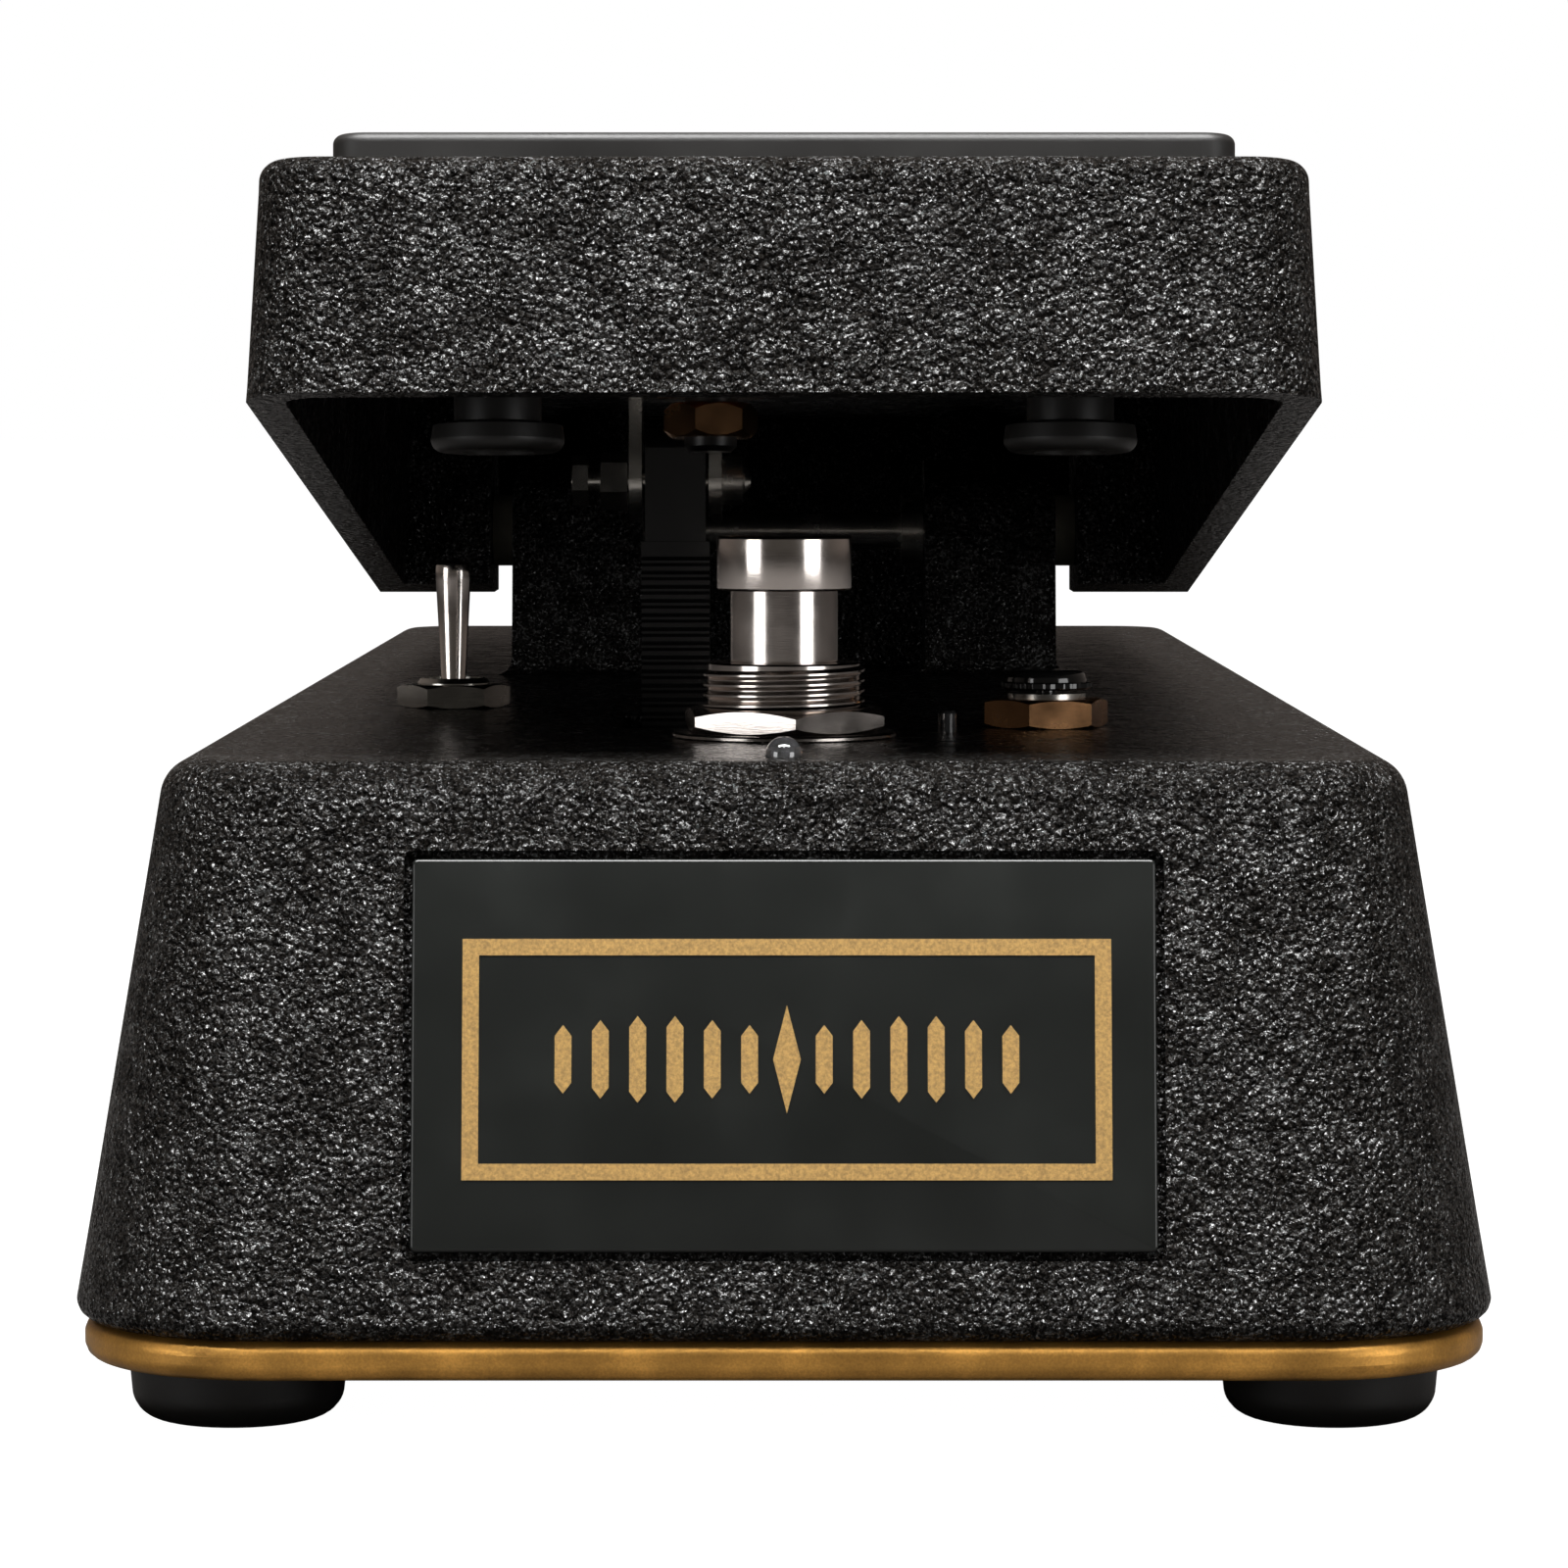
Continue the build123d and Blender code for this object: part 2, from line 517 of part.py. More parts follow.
with BuildPart() as bracket_nut:
    with BuildSketch(treadle_level(WEB_W - 0.7)):
        with Locations(Location((BRACKET_SCREW_X, bracket_u, 0), (0, 0, 12))):
            RegularPolygon(3.15, 6, major_radius=False)
            Circle(2.0, mode=Mode.SUBTRACT)
    extrude(amount=-3.1)
    with BuildSketch(treadle_level(WEB_W - 0.7)):
        with Locations((BRACKET_SCREW_X, bracket_u)):
            Circle(3.2)
    extrude(amount=-3.1, taper=-8, mode=Mode.INTERSECT)
save(bracket_nut, "bracket_nut")

BOLT_RADIUS = 1.0
with BuildPart() as rack_bolt:
    with BuildSketch(Plane.YZ.offset(-16.6)):
        with Locations((RACK_BOLT_Y, RACK_BOLT_Z)):
            Circle(BOLT_RADIUS)
    extrude(amount=14)
    with BuildSketch(Plane.YZ.offset(RACK_X + CHEEK_INNER + CHEEK_THICKNESS)):
        with Locations((RACK_BOLT_Y, RACK_BOLT_Z)):
            Circle(1.9)
    extrude(amount=1.6)
    chamfer(rack_bolt.edges().filter_by(GeomType.CIRCLE).sort_by(Axis.X)[-1], 0.45)
    with BuildSketch(Plane.YZ.offset(RACK_X + CHEEK_INNER + CHEEK_THICKNESS + 1.6)):
        with Locations((RACK_BOLT_Y, RACK_BOLT_Z)):
            Rectangle(2.6, 0.5)
    extrude(amount=-0.7, mode=Mode.SUBTRACT)
save(rack_bolt, "rack_bolt")

with BuildPart() as rack_bolt_nuts:
    for nut_x, thickness, flats in ((-12.2, -2.1, 4.0), (-15.3, -1.2, 3.4)):
        with BuildSketch(Plane.YZ.offset(nut_x)):
            with Locations(Location((RACK_BOLT_Y, RACK_BOLT_Z, 0), (0, 0, 22))):
                RegularPolygon(flats / 2, 6, major_radius=False)
                Circle(BOLT_RADIUS, mode=Mode.SUBTRACT)
        extrude(amount=thickness)
save(rack_bolt_nuts, "rack_bolt_nuts")

# ---- rack ------------------------------------------------------------------------------------
ADDENDUM = TOOTH_MODULE
DEDENDUM = 1.25 * TOOTH_MODULE
TOOTH_LAND = 0.25 * PITCH - ADDENDUM * tan(radians(20))
TOOTH_FOOT = 0.25 * PITCH + DEDENDUM * tan(radians(20))
BACKLASH = 0.05
ROOT_Y = RACK_PITCH_Y + DEDENDUM
TIP_Y = RACK_PITCH_Y - ADDENDUM
# A rack tooth gap is centred on the pinion's axis height, and a pinion tooth points at it.
GAP_COUNT_ABOVE = int((TEETH_TOP - PINION_Z) / PITCH)
GAP_COUNT_BELOW = int((PINION_Z - RACK_BOTTOM) / PITCH)
with BuildPart() as rack:
    with BuildSketch(Plane.YZ.offset(RACK_X - RACK_WIDTH / 2)):
        with BuildLine():
            Polyline((ROOT_Y, RACK_BOTTOM), (RACK_BACK_Y, RACK_BOTTOM), (RACK_BACK_Y, TEETH_TOP + 1),
                     (TIP_Y, TEETH_TOP + 1), (TIP_Y, TEETH_TOP), (ROOT_Y, TEETH_TOP),
                     (ROOT_Y, RACK_BOTTOM))
        make_face()
        for index in range(-GAP_COUNT_BELOW, GAP_COUNT_ABOVE):
            tooth_z = PINION_Z + (index + 0.5) * PITCH
            with BuildLine():
                Polyline((ROOT_Y + 0.02, tooth_z - TOOTH_FOOT + BACKLASH),
                         (TIP_Y, tooth_z - TOOTH_LAND + BACKLASH),
                         (TIP_Y, tooth_z + TOOTH_LAND - BACKLASH),
                         (ROOT_Y + 0.02, tooth_z + TOOTH_FOOT - BACKLASH),
                         (ROOT_Y + 0.02, tooth_z - TOOTH_FOOT + BACKLASH))
            make_face()
    extrude(amount=RACK_WIDTH)
    # A narrower tongue goes up between the bracket's cheeks.
    with BuildSketch(Plane.YZ.offset(RACK_X - TONGUE_WIDTH / 2)):
        with BuildLine():
            Line((TIP_Y + 0.3, TEETH_TOP + 0.8), (RACK_BACK_Y, TEETH_TOP + 0.8))
            Line((RACK_BACK_Y, TEETH_TOP + 0.8), (RACK_BACK_Y, RACK_BOLT_Z + 2.6))
            RadiusArc((RACK_BACK_Y, RACK_BOLT_Z + 2.6), (TIP_Y + 0.3, RACK_BOLT_Z + 2.6), -2.9)
            Line((TIP_Y + 0.3, RACK_BOLT_Z + 2.6), (TIP_Y + 0.3, TEETH_TOP + 0.8))
        make_face()
    extrude(amount=TONGUE_WIDTH)
    with BuildSketch(Plane.YZ.offset(RACK_X - 4)):
        with Locations((RACK_BOLT_Y, RACK_BOLT_Z)):
            Rectangle(2 * BOLT_RADIUS + 0.7, 2 * BOLT_RADIUS + 0.7)
    extrude(amount=8, mode=Mode.SUBTRACT)
save(rack, "rack")

# ---- pinion with the pot's shaft ------------------------------------------------------------------
PINION_OUTSIDE = PINION_RADIUS + ADDENDUM
PINION_ROOT = PINION_RADIUS - DEDENDUM
with BuildPart() as pinion:
    with BuildSketch(Plane.YZ.offset(RACK_X - 3.4)):
        with Locations((PINION_Y, PINION_Z)):
            Circle(PINION_ROOT)
            with PolarLocations((PINION_ROOT + PINION_OUTSIDE) / 2 - 0.06, PINION_TEETH):
                Trapezoid(2 * (TOOTH_FOOT - BACKLASH), PINION_OUTSIDE - PINION_ROOT + 0.12,
                          72, rotation=-90)
            Circle(1.5, mode=Mode.SUBTRACT)
    extrude(amount=6.8)
    with BuildSketch(Plane.YZ.offset(RACK_X + 3.4)):
        with Locations((PINION_Y, PINION_Z)):
            Circle(3.2)
            Circle(1.5, mode=Mode.SUBTRACT)
    extrude(amount=2.6)
save(pinion, "pinion")

with BuildPart() as pot_shaft:
    with BuildSketch(Plane.YZ.offset(-20.0)):
        with Locations((PINION_Y, PINION_Z)):
            Circle(1.5)
    extrude(amount=14.6)
save(pot_shaft, "pot_shaft")

with BuildPart() as pot_bushing:
    with BuildSketch(Plane.YZ.offset(-19.0)):
        with Locations((PINION_Y, PINION_Z)):
            Circle(3.4)
            Circle(1.55, mode=Mode.SUBTRACT)
    extrude(amount=6.3)
save(pot_bushing, "pot_bushing")

with BuildPart() as pot_nut:
    with BuildSketch(Plane.YZ.offset(-15.0)):
        with Locations((PINION_Y, PINION_Z)):
            RegularPolygon(5.0, 6, major_radius=False)
            Circle(3.4, mode=Mode.SUBTRACT)
    extrude(amount=1.8)
save(pot_nut, "pot_nut")

with BuildPart() as pot_body:
    with BuildSketch(Plane.YZ.offset(-30.0)):
        with Locations((PINION_Y, PINION_Z)):
            Circle(POT_DIAMETER / 2)
    extrude(amount=11.0)
    fillet(pot_body.edges().filter_by(GeomType.CIRCLE).sort_by(Axis.X)[0], 1.2)
    with BuildSketch(Plane.YZ.offset(-20.2)):
        with Locations((PINION_Y, PINION_Z)):
            Circle(1.6)
    extrude(amount=1.4, mode=Mode.SUBTRACT)
    with BuildSketch(Plane.YZ.offset(-20.0)):
        with Locations(*[(PINION_Y + dy, PINION_Z - 14.0) for dy in (-5, 0, 5)]):
            Rectangle(2.4, 8)
    extrude(amount=0.8)
save(pot_body, "pot_body")

with BuildPart() as pot_bracket:
    with BuildSketch(Plane.YZ.offset(-16.5)):
        with Locations((PINION_Y, (PINION_Z - 10 + DECK_UNDER) / 2)):
            Rectangle(34, DECK_UNDER - PINION_Z + 10)
        with Locations((PINION_Y, PINION_Z)):
            Circle(3.5, mode=Mode.SUBTRACT)
    extrude(amount=1.5)
    with BuildSketch(Plane.XY.offset(DECK_UNDER)):
        with Locations(*BRACKET_SCREW_SPOTS):
            Rectangle(9.0, 8.0)
            Circle(1.6, mode=Mode.SUBTRACT)
    extrude(amount=-1.5)
save(pot_bracket, "pot_bracket")

with BuildPart() as pot_bracket_screws:
    with BuildSketch(Plane.XY.offset(DECK_UNDER + 1.6)):
        with Locations(*BRACKET_SCREW_SPOTS):
            Circle(1.55)
    extrude(amount=-3.5)
    with BuildSketch(Plane.XY.offset(DECK_UNDER - 1.5)):
        with Locations(*BRACKET_SCREW_SPOTS):
            Circle(2.6)
    extrude(amount=-1.3)
    chamfer(pot_bracket_screws.faces().sort_by(Axis.Z)[0].edges(), 0.4)
save(pot_bracket_screws, "pot_bracket_screws")

with BuildPart() as rack_guide:
    with BuildSketch(Plane.XY.offset(24.5)):
        with Locations((RACK_X - 0.2, RACK_BACK_Y + 1.45)):
            Rectangle(RACK_WIDTH + 5.0, 2.5)
        for side in (-1, 1):
            with Locations((RACK_X + side * (RACK_WIDTH / 2 + 1.25), RACK_BACK_Y - 0.3)):
                Rectangle(2.1, 2.4)
    extrude(amount=DECK_UNDER - 24.5)
save(rack_guide, "rack_guide")

# ---- footswitch ------------------------------------------------------------------------------------
with BuildPart() as footswitch_washer:
    with BuildSketch(Plane.XY.offset(DECK_TOP)):
        with Locations((0, SWITCH_Y)):
            Circle(8.3)
            Circle(BUSHING_DIAMETER / 2, mode=Mode.SUBTRACT)
    extrude(amount=SWITCH_WASHER)
save(footswitch_washer, "footswitch_washer")

with BuildPart() as footswitch_nut:
    with BuildSketch(Plane.XY.offset(DECK_TOP + SWITCH_WASHER)):
        with Locations(Location((0, SWITCH_Y, 0), (0, 0, 36))):
            RegularPolygon(7.0, 6, major_radius=False)
            Circle(BUSHING_DIAMETER / 2, mode=Mode.SUBTRACT)
    extrude(amount=SWITCH_NUT)
    with BuildSketch(profile_plane(0, SWITCH_Y, DECK_TOP + SWITCH_WASHER)):
        with BuildLine():
            Polyline((0, 0), (7.2, 0), (8.2, 0.6), (8.2, SWITCH_NUT - 0.6), (7.2, SWITCH_NUT),
                     (0, SWITCH_NUT), (0, 0))
        make_face()
    revolve(axis=Axis((0, SWITCH_Y, 0), (0, 0, 1)), mode=Mode.INTERSECT)
save(footswitch_nut, "footswitch_nut")

with BuildPart() as footswitch_body:
    with BuildSketch(Plane.XY.offset(DECK_UNDER - 17.0)):
        with Locations((0, SWITCH_Y)):
            RectangleRounded(17.0, 17.5, 1.0)
    extrude(amount=17.0)
    # The threaded bushing is cut with separate ring grooves, one for each turn of thread.
    with BuildSketch(profile_plane(0, SWITCH_Y)):
        with BuildLine():
            Polyline((STEM_DIAMETER / 2 + 0.1, DECK_UNDER - 12), (BUSHING_DIAMETER / 2, DECK_UNDER - 12),
                     (BUSHING_DIAMETER / 2, BUSHING_TOP - 0.3),
                     (BUSHING_DIAMETER / 2 - 0.3, BUSHING_TOP), (STEM_DIAMETER / 2 + 0.1, BUSHING_TOP),
                     (STEM_DIAMETER / 2 + 0.1, DECK_UNDER - 12))
        make_face()
        groove_z = DECK_TOP + SWITCH_WASHER + SWITCH_NUT + THREAD_PITCH / 2
        while groove_z < BUSHING_TOP - 0.5:
            with BuildLine():
                Polyline((BUSHING_DIAMETER / 2 + 0.1, groove_z - 0.3),
                         (BUSHING_DIAMETER / 2 - 0.4, groove_z),
                         (BUSHING_DIAMETER / 2 + 0.1, groove_z + 0.3),
                         (BUSHING_DIAMETER / 2 + 0.1, groove_z - 0.3))
            make_face(mode=Mode.SUBTRACT)
            groove_z += THREAD_PITCH
    revolve(axis=Axis((0, SWITCH_Y, 0), (0, 0, 1)))
    with BuildSketch(Plane.XY.offset(DECK_UNDER - 12)):
        with Locations((0, SWITCH_Y)):
            Circle(STEM_DIAMETER / 2 + 0.1)
    extrude(amount=20, mode=Mode.SUBTRACT)
    with BuildSketch(Plane.XY.offset(DECK_UNDER - 17.0)):
        with Locations((0, SWITCH_Y)):
            with GridLocations(4.8, 4.8, 3, 3):
                Rectangle(2.2, 0.8)
    extrude(amount=-4.2)
save(footswitch_body, "footswitch_body")

with BuildPart() as footswitch_button:
    with BuildSketch(Plane.XY.offset(DECK_UNDER - 9)):
        with Locations((0, SWITCH_Y)):
            Circle(STEM_DIAMETER / 2)
    extrude(amount=CAP_BOTTOM - DECK_UNDER + 9)
    with BuildSketch(Plane.XY.offset(CAP_BOTTOM)):
        with Locations((0, SWITCH_Y)):
            Circle(CAP_DIAMETER / 2)
    extrude(amount=CAP_TOP - CAP_BOTTOM)
    rims = footswitch_button.edges().filter_by(GeomType.CIRCLE).filter_by(
        lambda e: e.radius > STEM_DIAMETER / 2 + 0.1).sort_by(Axis.Z)
    fillet(rims[-1], 0.8)
    fillet(rims[0], 0.25)
save(footswitch_button, "footswitch_button")

# ---- toggle switch ---------------------------------------------------------------------------------
with BuildPart() as toggle_body:
    with BuildSketch(Plane.XY.offset(DECK_UNDER - 9.5)):
        with Locations((TOGGLE_X, TOGGLE_Y)):
            RectangleRounded(8.0, 13.0, 0.6)
    extrude(amount=9.5)
    with BuildSketch(Plane.XY.offset(DECK_UNDER)):
        with Locations((TOGGLE_X, TOGGLE_Y)):
            Circle(2.95)
    extrude(amount=5.4)
    chamfer(toggle_body.edges().filter_by(GeomType.CIRCLE).sort_by(Axis.Z)[-1], 0.4)
    with BuildSketch(Plane.XY.offset(DECK_UNDER + 6)):
        with Locations((TOGGLE_X, TOGGLE_Y)):
            Circle(2.3)
    extrude(amount=-9.5, mode=Mode.SUBTRACT)
    with BuildSketch(Plane.XY.offset(DECK_UNDER - 9.5)):
        with Locations((TOGGLE_X, TOGGLE_Y)):
            with GridLocations(1, 4.7, 1, 3):
                Rectangle(2.0, 0.8)
    extrude(amount=-4.0)
save(toggle_body, "toggle_body")

with BuildPart() as toggle_nut:
    with BuildSketch(Plane.XY.offset(DECK_TOP)):
        with Locations(Location((TOGGLE_X, TOGGLE_Y, 0), (0, 0, 4))):
            RegularPolygon(4.6, 6, major_radius=True)
            Circle(2.95, mode=Mode.SUBTRACT)
    extrude(amount=1.9)
save(toggle_nut, "toggle_nut")

with BuildPart() as toggle_lever:
    with BuildSketch(profile_plane(TOGGLE_X, TOGGLE_Y)):
        with BuildLine():
            Polyline((0, LEVER_PIVOT_Z - 2.2), (0.9, LEVER_PIVOT_Z - 2.2), (1.8, LEVER_PIVOT_Z - 0.8))
            RadiusArc((1.8, LEVER_PIVOT_Z - 0.8), (1.3, LEVER_PIVOT_Z + 1.2), -1.9)
            Polyline((1.3, LEVER_PIVOT_Z + 1.2), (1.62, LEVER_TOP - 0.9))
            RadiusArc((1.62, LEVER_TOP - 0.9), (0.8, LEVER_TOP), -0.95)
            Polyline((0.8, LEVER_TOP), (0, LEVER_TOP), (0, LEVER_PIVOT_Z - 2.2))
        make_face()
    revolve(axis=Axis((TOGGLE_X, TOGGLE_Y, 0), (0, 0, 1)))
save(toggle_lever, "toggle_lever")

# ---- lights and the bezel on the right ----------------------------------------------------------
with BuildPart() as status_light:
    with BuildSketch(profile_plane(0, LIGHT_Y)):
        with BuildLine():
            Polyline((0, DECK_UNDER - 3.4), (1.8, DECK_UNDER - 3.4), (1.8, DECK_UNDER),
                     (1.3, DECK_UNDER), (1.3, DECK_TOP + 0.1))
            RadiusArc((1.3, DECK_TOP + 0.1), (0, DECK_TOP + 1.4), -1.3)
            Line((0, DECK_TOP + 1.4), (0, DECK_UNDER - 3.4))
        make_face()
    revolve(axis=Axis((0, LIGHT_Y, 0), (0, 0, 1)))
save(status_light, "status_light")

with BuildPart() as trim_nut:
    with BuildSketch(Plane.XY.offset(DECK_TOP)):
        with Locations(Location((BEZEL_X, BEZEL_Y, 0), (0, 0, 12))):
            RegularPolygon(4.9, 6, major_radius=True)
            Circle(3.0, mode=Mode.SUBTRACT)
    extrude(amount=2.2)
save(trim_nut, "trim_nut")

with BuildPart() as trim_pot:
    with BuildSketch(profile_plane(BEZEL_X, BEZEL_Y)):
        with BuildLine():
            Polyline((0.85, DECK_UNDER - 7.0), (4.8, DECK_UNDER - 7.0), (4.8, DECK_UNDER),
                     (3.0, DECK_UNDER), (3.0, DECK_TOP + 2.6), (0.85, DECK_TOP + 2.6),
                     (0.85, DECK_UNDER - 7.0))
        make_face()
    revolve(axis=Axis((BEZEL_X, BEZEL_Y, 0), (0, 0, 1)))
save(trim_pot, "trim_pot")

with BuildPart() as trim_knob:
    with BuildSketch(profile_plane(BEZEL_X, BEZEL_Y)):
        with BuildLine():
            Polyline((0, DECK_UNDER - 5.0), (0.8, DECK_UNDER - 5.0), (0.8, DECK_TOP + 2.9),
                     (3.5, DECK_TOP + 2.9))
            RadiusArc((3.5, DECK_TOP + 2.9), (3.1, DECK_TOP + 4.1), -1.6)
            Polyline((3.1, DECK_TOP + 4.1), (0, DECK_TOP + 4.4), (0, DECK_UNDER - 5.0))
        make_face()
    revolve(axis=Axis((BEZEL_X, BEZEL_Y, 0), (0, 0, 1)))
    with BuildSketch(Plane.XY.offset(DECK_TOP + 4.5)):
        with Locations((BEZEL_X, BEZEL_Y)):
            Rectangle(0.7, 5.0)
    extrude(amount=-0.8, mode=Mode.SUBTRACT)
save(trim_knob, "trim_knob")

with BuildPart() as light_stub:
    with BuildSketch(Plane.XY.offset(DECK_UNDER - 3)):
        with Locations((STUB_X, STUB_Y)):
            Circle(0.7)
    extrude(amount=DECK_TOP - DECK_UNDER + 4.6)
    chamfer(light_stub.edges().filter_by(GeomType.CIRCLE).sort_by(Axis.Z)[-1], 0.2)
save(light_stub, "light_stub")


# ---- jacks and the power socket ------------------------------------------------------------------
JACK_RADIUS = 4.7
WALL_NORMAL_DEPTH = WALL * cos(radians(BASE_DRAFT))


def jack(side, label):
    """A 1/4 inch jack: block body inside, bored bushing, washer and hex nut outside."""
    wall_face = side_wall_plane(JACK_Y, side)
    with BuildPart() as body:
        with BuildSketch(wall_face.offset(-WALL_NORMAL_DEPTH)):
            RectangleRounded(20.0, 15.0, 1.0)
        extrude(amount=-20.0)
        with BuildSketch(wall_face.offset(-WALL_NORMAL_DEPTH - 0.5)):
            Circle(JACK_RADIUS)
        extrude(amount=WALL_NORMAL_DEPTH + 3.7)
        with BuildSketch(wall_face.offset(4)):
            Circle(JACK_BORE / 2)
        extrude(amount=-24.0, mode=Mode.SUBTRACT)
    save(body, f"{label}_jack")
    with BuildPart() as washer:
        with BuildSketch(wall_face):
            Circle(7.4)
            Circle(JACK_RADIUS, mode=Mode.SUBTRACT)
        extrude(amount=0.5)
    save(washer, f"{label}_jack_washer")
    with BuildPart() as nut:
        with BuildSketch(wall_face.offset(0.5)):
            RegularPolygon(6.5, 6, major_radius=False)
            Circle(JACK_RADIUS, mode=Mode.SUBTRACT)
        extrude(amount=1.8)
    save(nut, f"{label}_jack_nut")


jack(1, "input")
jack(-1, "output")

POWER_FACE = side_wall_plane(POWER_Y, 1)
with BuildPart() as power_socket:
    with BuildSketch(POWER_FACE.offset(-12.5)):
        Circle(5.8)
    extrude(amount=12.5)
    with BuildSketch(POWER_FACE):
        Circle(7.2)
    extrude(amount=1.4)
    with BuildSketch(POWER_FACE.offset(1.4)):
        Circle(2.8)
        Circle(1.05, mode=Mode.SUBTRACT)
    extrude(amount=-10.5, mode=Mode.SUBTRACT)
save(power_socket, "power_socket")

# ---- circuit board, battery and what holds them ------------------------------------------------
BOARD_Z = 36.0
BOARD_Y = -8.0
with BuildPart() as circuit_board:
    with BuildSketch(Plane.XY.offset(BOARD_Z)):
        with Locations((4, BOARD_Y)):
            Rectangle(62, 56)
            with GridLocations(54, 48, 2, 2):
                Circle(1.6, mode=Mode.SUBTRACT)
    extrude(amount=1.6)
save(circuit_board, "circuit_board")

with BuildPart() as board_standoffs:
    with BuildSketch(Plane.XY.offset(BOARD_Z + 1.6)):
        with Locations((4, BOARD_Y)):
            with GridLocations(54, 48, 2, 2):
                Circle(2.8)
                Circle(1.5, mode=Mode.SUBTRACT)
    extrude(amount=DECK_UNDER - BOARD_Z - 1.6)
save(board_standoffs, "board_standoffs")

with BuildPart() as board_screws:
    with BuildSketch(Plane.XY.offset(BOARD_Z)):
        with Locations((4, BOARD_Y)):
            with GridLocations(54, 48, 2, 2):
                Circle(2.6)
    extrude(amount=-1.6)
    with BuildSketch(Plane.XY.offset(BOARD_Z - 0.5)):
        with Locations((4, BOARD_Y)):
            with GridLocations(54, 48, 2, 2):
                Circle(1.45)
    extrude(amount=7.0)
save(board_screws, "board_screws")

with BuildPart() as filter_inductor:
    with BuildSketch(Plane.XY.offset(BOARD_Z)):
        with Locations((-8, BOARD_Y)):
            Circle(9.0)
            Circle(2.4, mode=Mode.SUBTRACT)
    extrude(amount=-11.0)
    fillet(filter_inductor.edges().filter_by(GeomType.CIRCLE).filter_by(
        lambda e: e.radius > 8), 0.8)
save(filter_inductor, "filter_inductor")

with BuildPart() as capacitors:
    with BuildSketch(Plane.XY.offset(BOARD_Z)):
        with Locations((14, BOARD_Y - 14), (22, BOARD_Y - 2), (12, BOARD_Y + 14)):
            Circle(3.0)
        with Locations((24, BOARD_Y + 10), (-14, BOARD_Y + 18)):
            Rectangle(12, 5)
    extrude(amount=-9.0)
save(capacitors, "capacitors")

BATTERY_Y = 88.0
with BuildPart() as battery:
    with BuildSketch(Plane.XY.offset(SHELL_BOTTOM + 2.2)):
        with Locations((0, BATTERY_Y)):
            RectangleRounded(48.5, 26.5, 2.0)
    extrude(amount=17.5)
save(battery, "battery")

with BuildPart() as battery_snap:
    with BuildSketch(Plane.YZ.offset(24.25)):
        with Locations((BATTERY_Y, SHELL_BOTTOM + 11)):
            RectangleRounded(24.0, 12.0, 2.0)
    extrude(amount=3.2)
save(battery_snap, "battery_snap")

with BuildPart() as battery_foam:
    with BuildSketch(Plane.XY.offset(SHELL_BOTTOM)):
        with Locations((0, BATTERY_Y)):
            Rectangle(44, 24)
    extrude(amount=2.2)
save(battery_foam, "battery_foam")
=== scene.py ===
import json
import math

import bmesh
import bpy
from bpy.props import FloatProperty, FloatVectorProperty, IntProperty, PointerProperty
from mathutils import Matrix, Vector


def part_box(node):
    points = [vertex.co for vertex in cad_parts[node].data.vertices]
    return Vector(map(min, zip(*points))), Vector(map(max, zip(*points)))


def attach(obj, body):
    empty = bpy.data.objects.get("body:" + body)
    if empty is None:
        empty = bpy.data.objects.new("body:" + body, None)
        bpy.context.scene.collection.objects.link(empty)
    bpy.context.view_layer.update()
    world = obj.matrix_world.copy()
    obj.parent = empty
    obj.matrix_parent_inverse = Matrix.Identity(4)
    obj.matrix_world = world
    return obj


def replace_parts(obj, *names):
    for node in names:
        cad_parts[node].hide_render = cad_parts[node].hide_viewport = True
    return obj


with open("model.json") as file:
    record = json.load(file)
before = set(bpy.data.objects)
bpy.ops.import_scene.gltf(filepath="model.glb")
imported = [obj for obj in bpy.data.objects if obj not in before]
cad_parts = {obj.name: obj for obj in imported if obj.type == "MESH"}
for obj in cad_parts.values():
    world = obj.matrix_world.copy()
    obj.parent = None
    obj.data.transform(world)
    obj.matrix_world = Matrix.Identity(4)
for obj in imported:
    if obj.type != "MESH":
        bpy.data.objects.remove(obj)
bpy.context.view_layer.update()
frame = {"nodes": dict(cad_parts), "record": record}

bl_info = {
    "name": "Wah Pedal Looks",
    "version": (1, 0, 0),
    "blender": (4, 5, 0),
    "location": "3D View > Sidebar > Wah Pedal",
    "description": "Finishes and turned, plated and printed pieces for a rocker wah pedal",
    "category": "Object",
}

MM = 0.001
NODES = frame["nodes"]


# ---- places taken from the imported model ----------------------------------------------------

def middle(node):
    """The centre of a CAD node's box."""
    low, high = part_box(node)
    return (low + high) / 2


def floor_of(node):
    """The point under the middle of a CAD node, at its lowest height."""
    low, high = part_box(node)
    return Vector(((low.x + high.x) / 2, (low.y + high.y) / 2, low.z))


SWITCH = floor_of("footswitch_washer")
TOGGLE = floor_of("toggle_nut")
TRIM = floor_of("trim_nut")
LIGHT = middle("status_light")
DECK = SWITCH.z


# ---- settings that a user would change ------------------------------------------------------

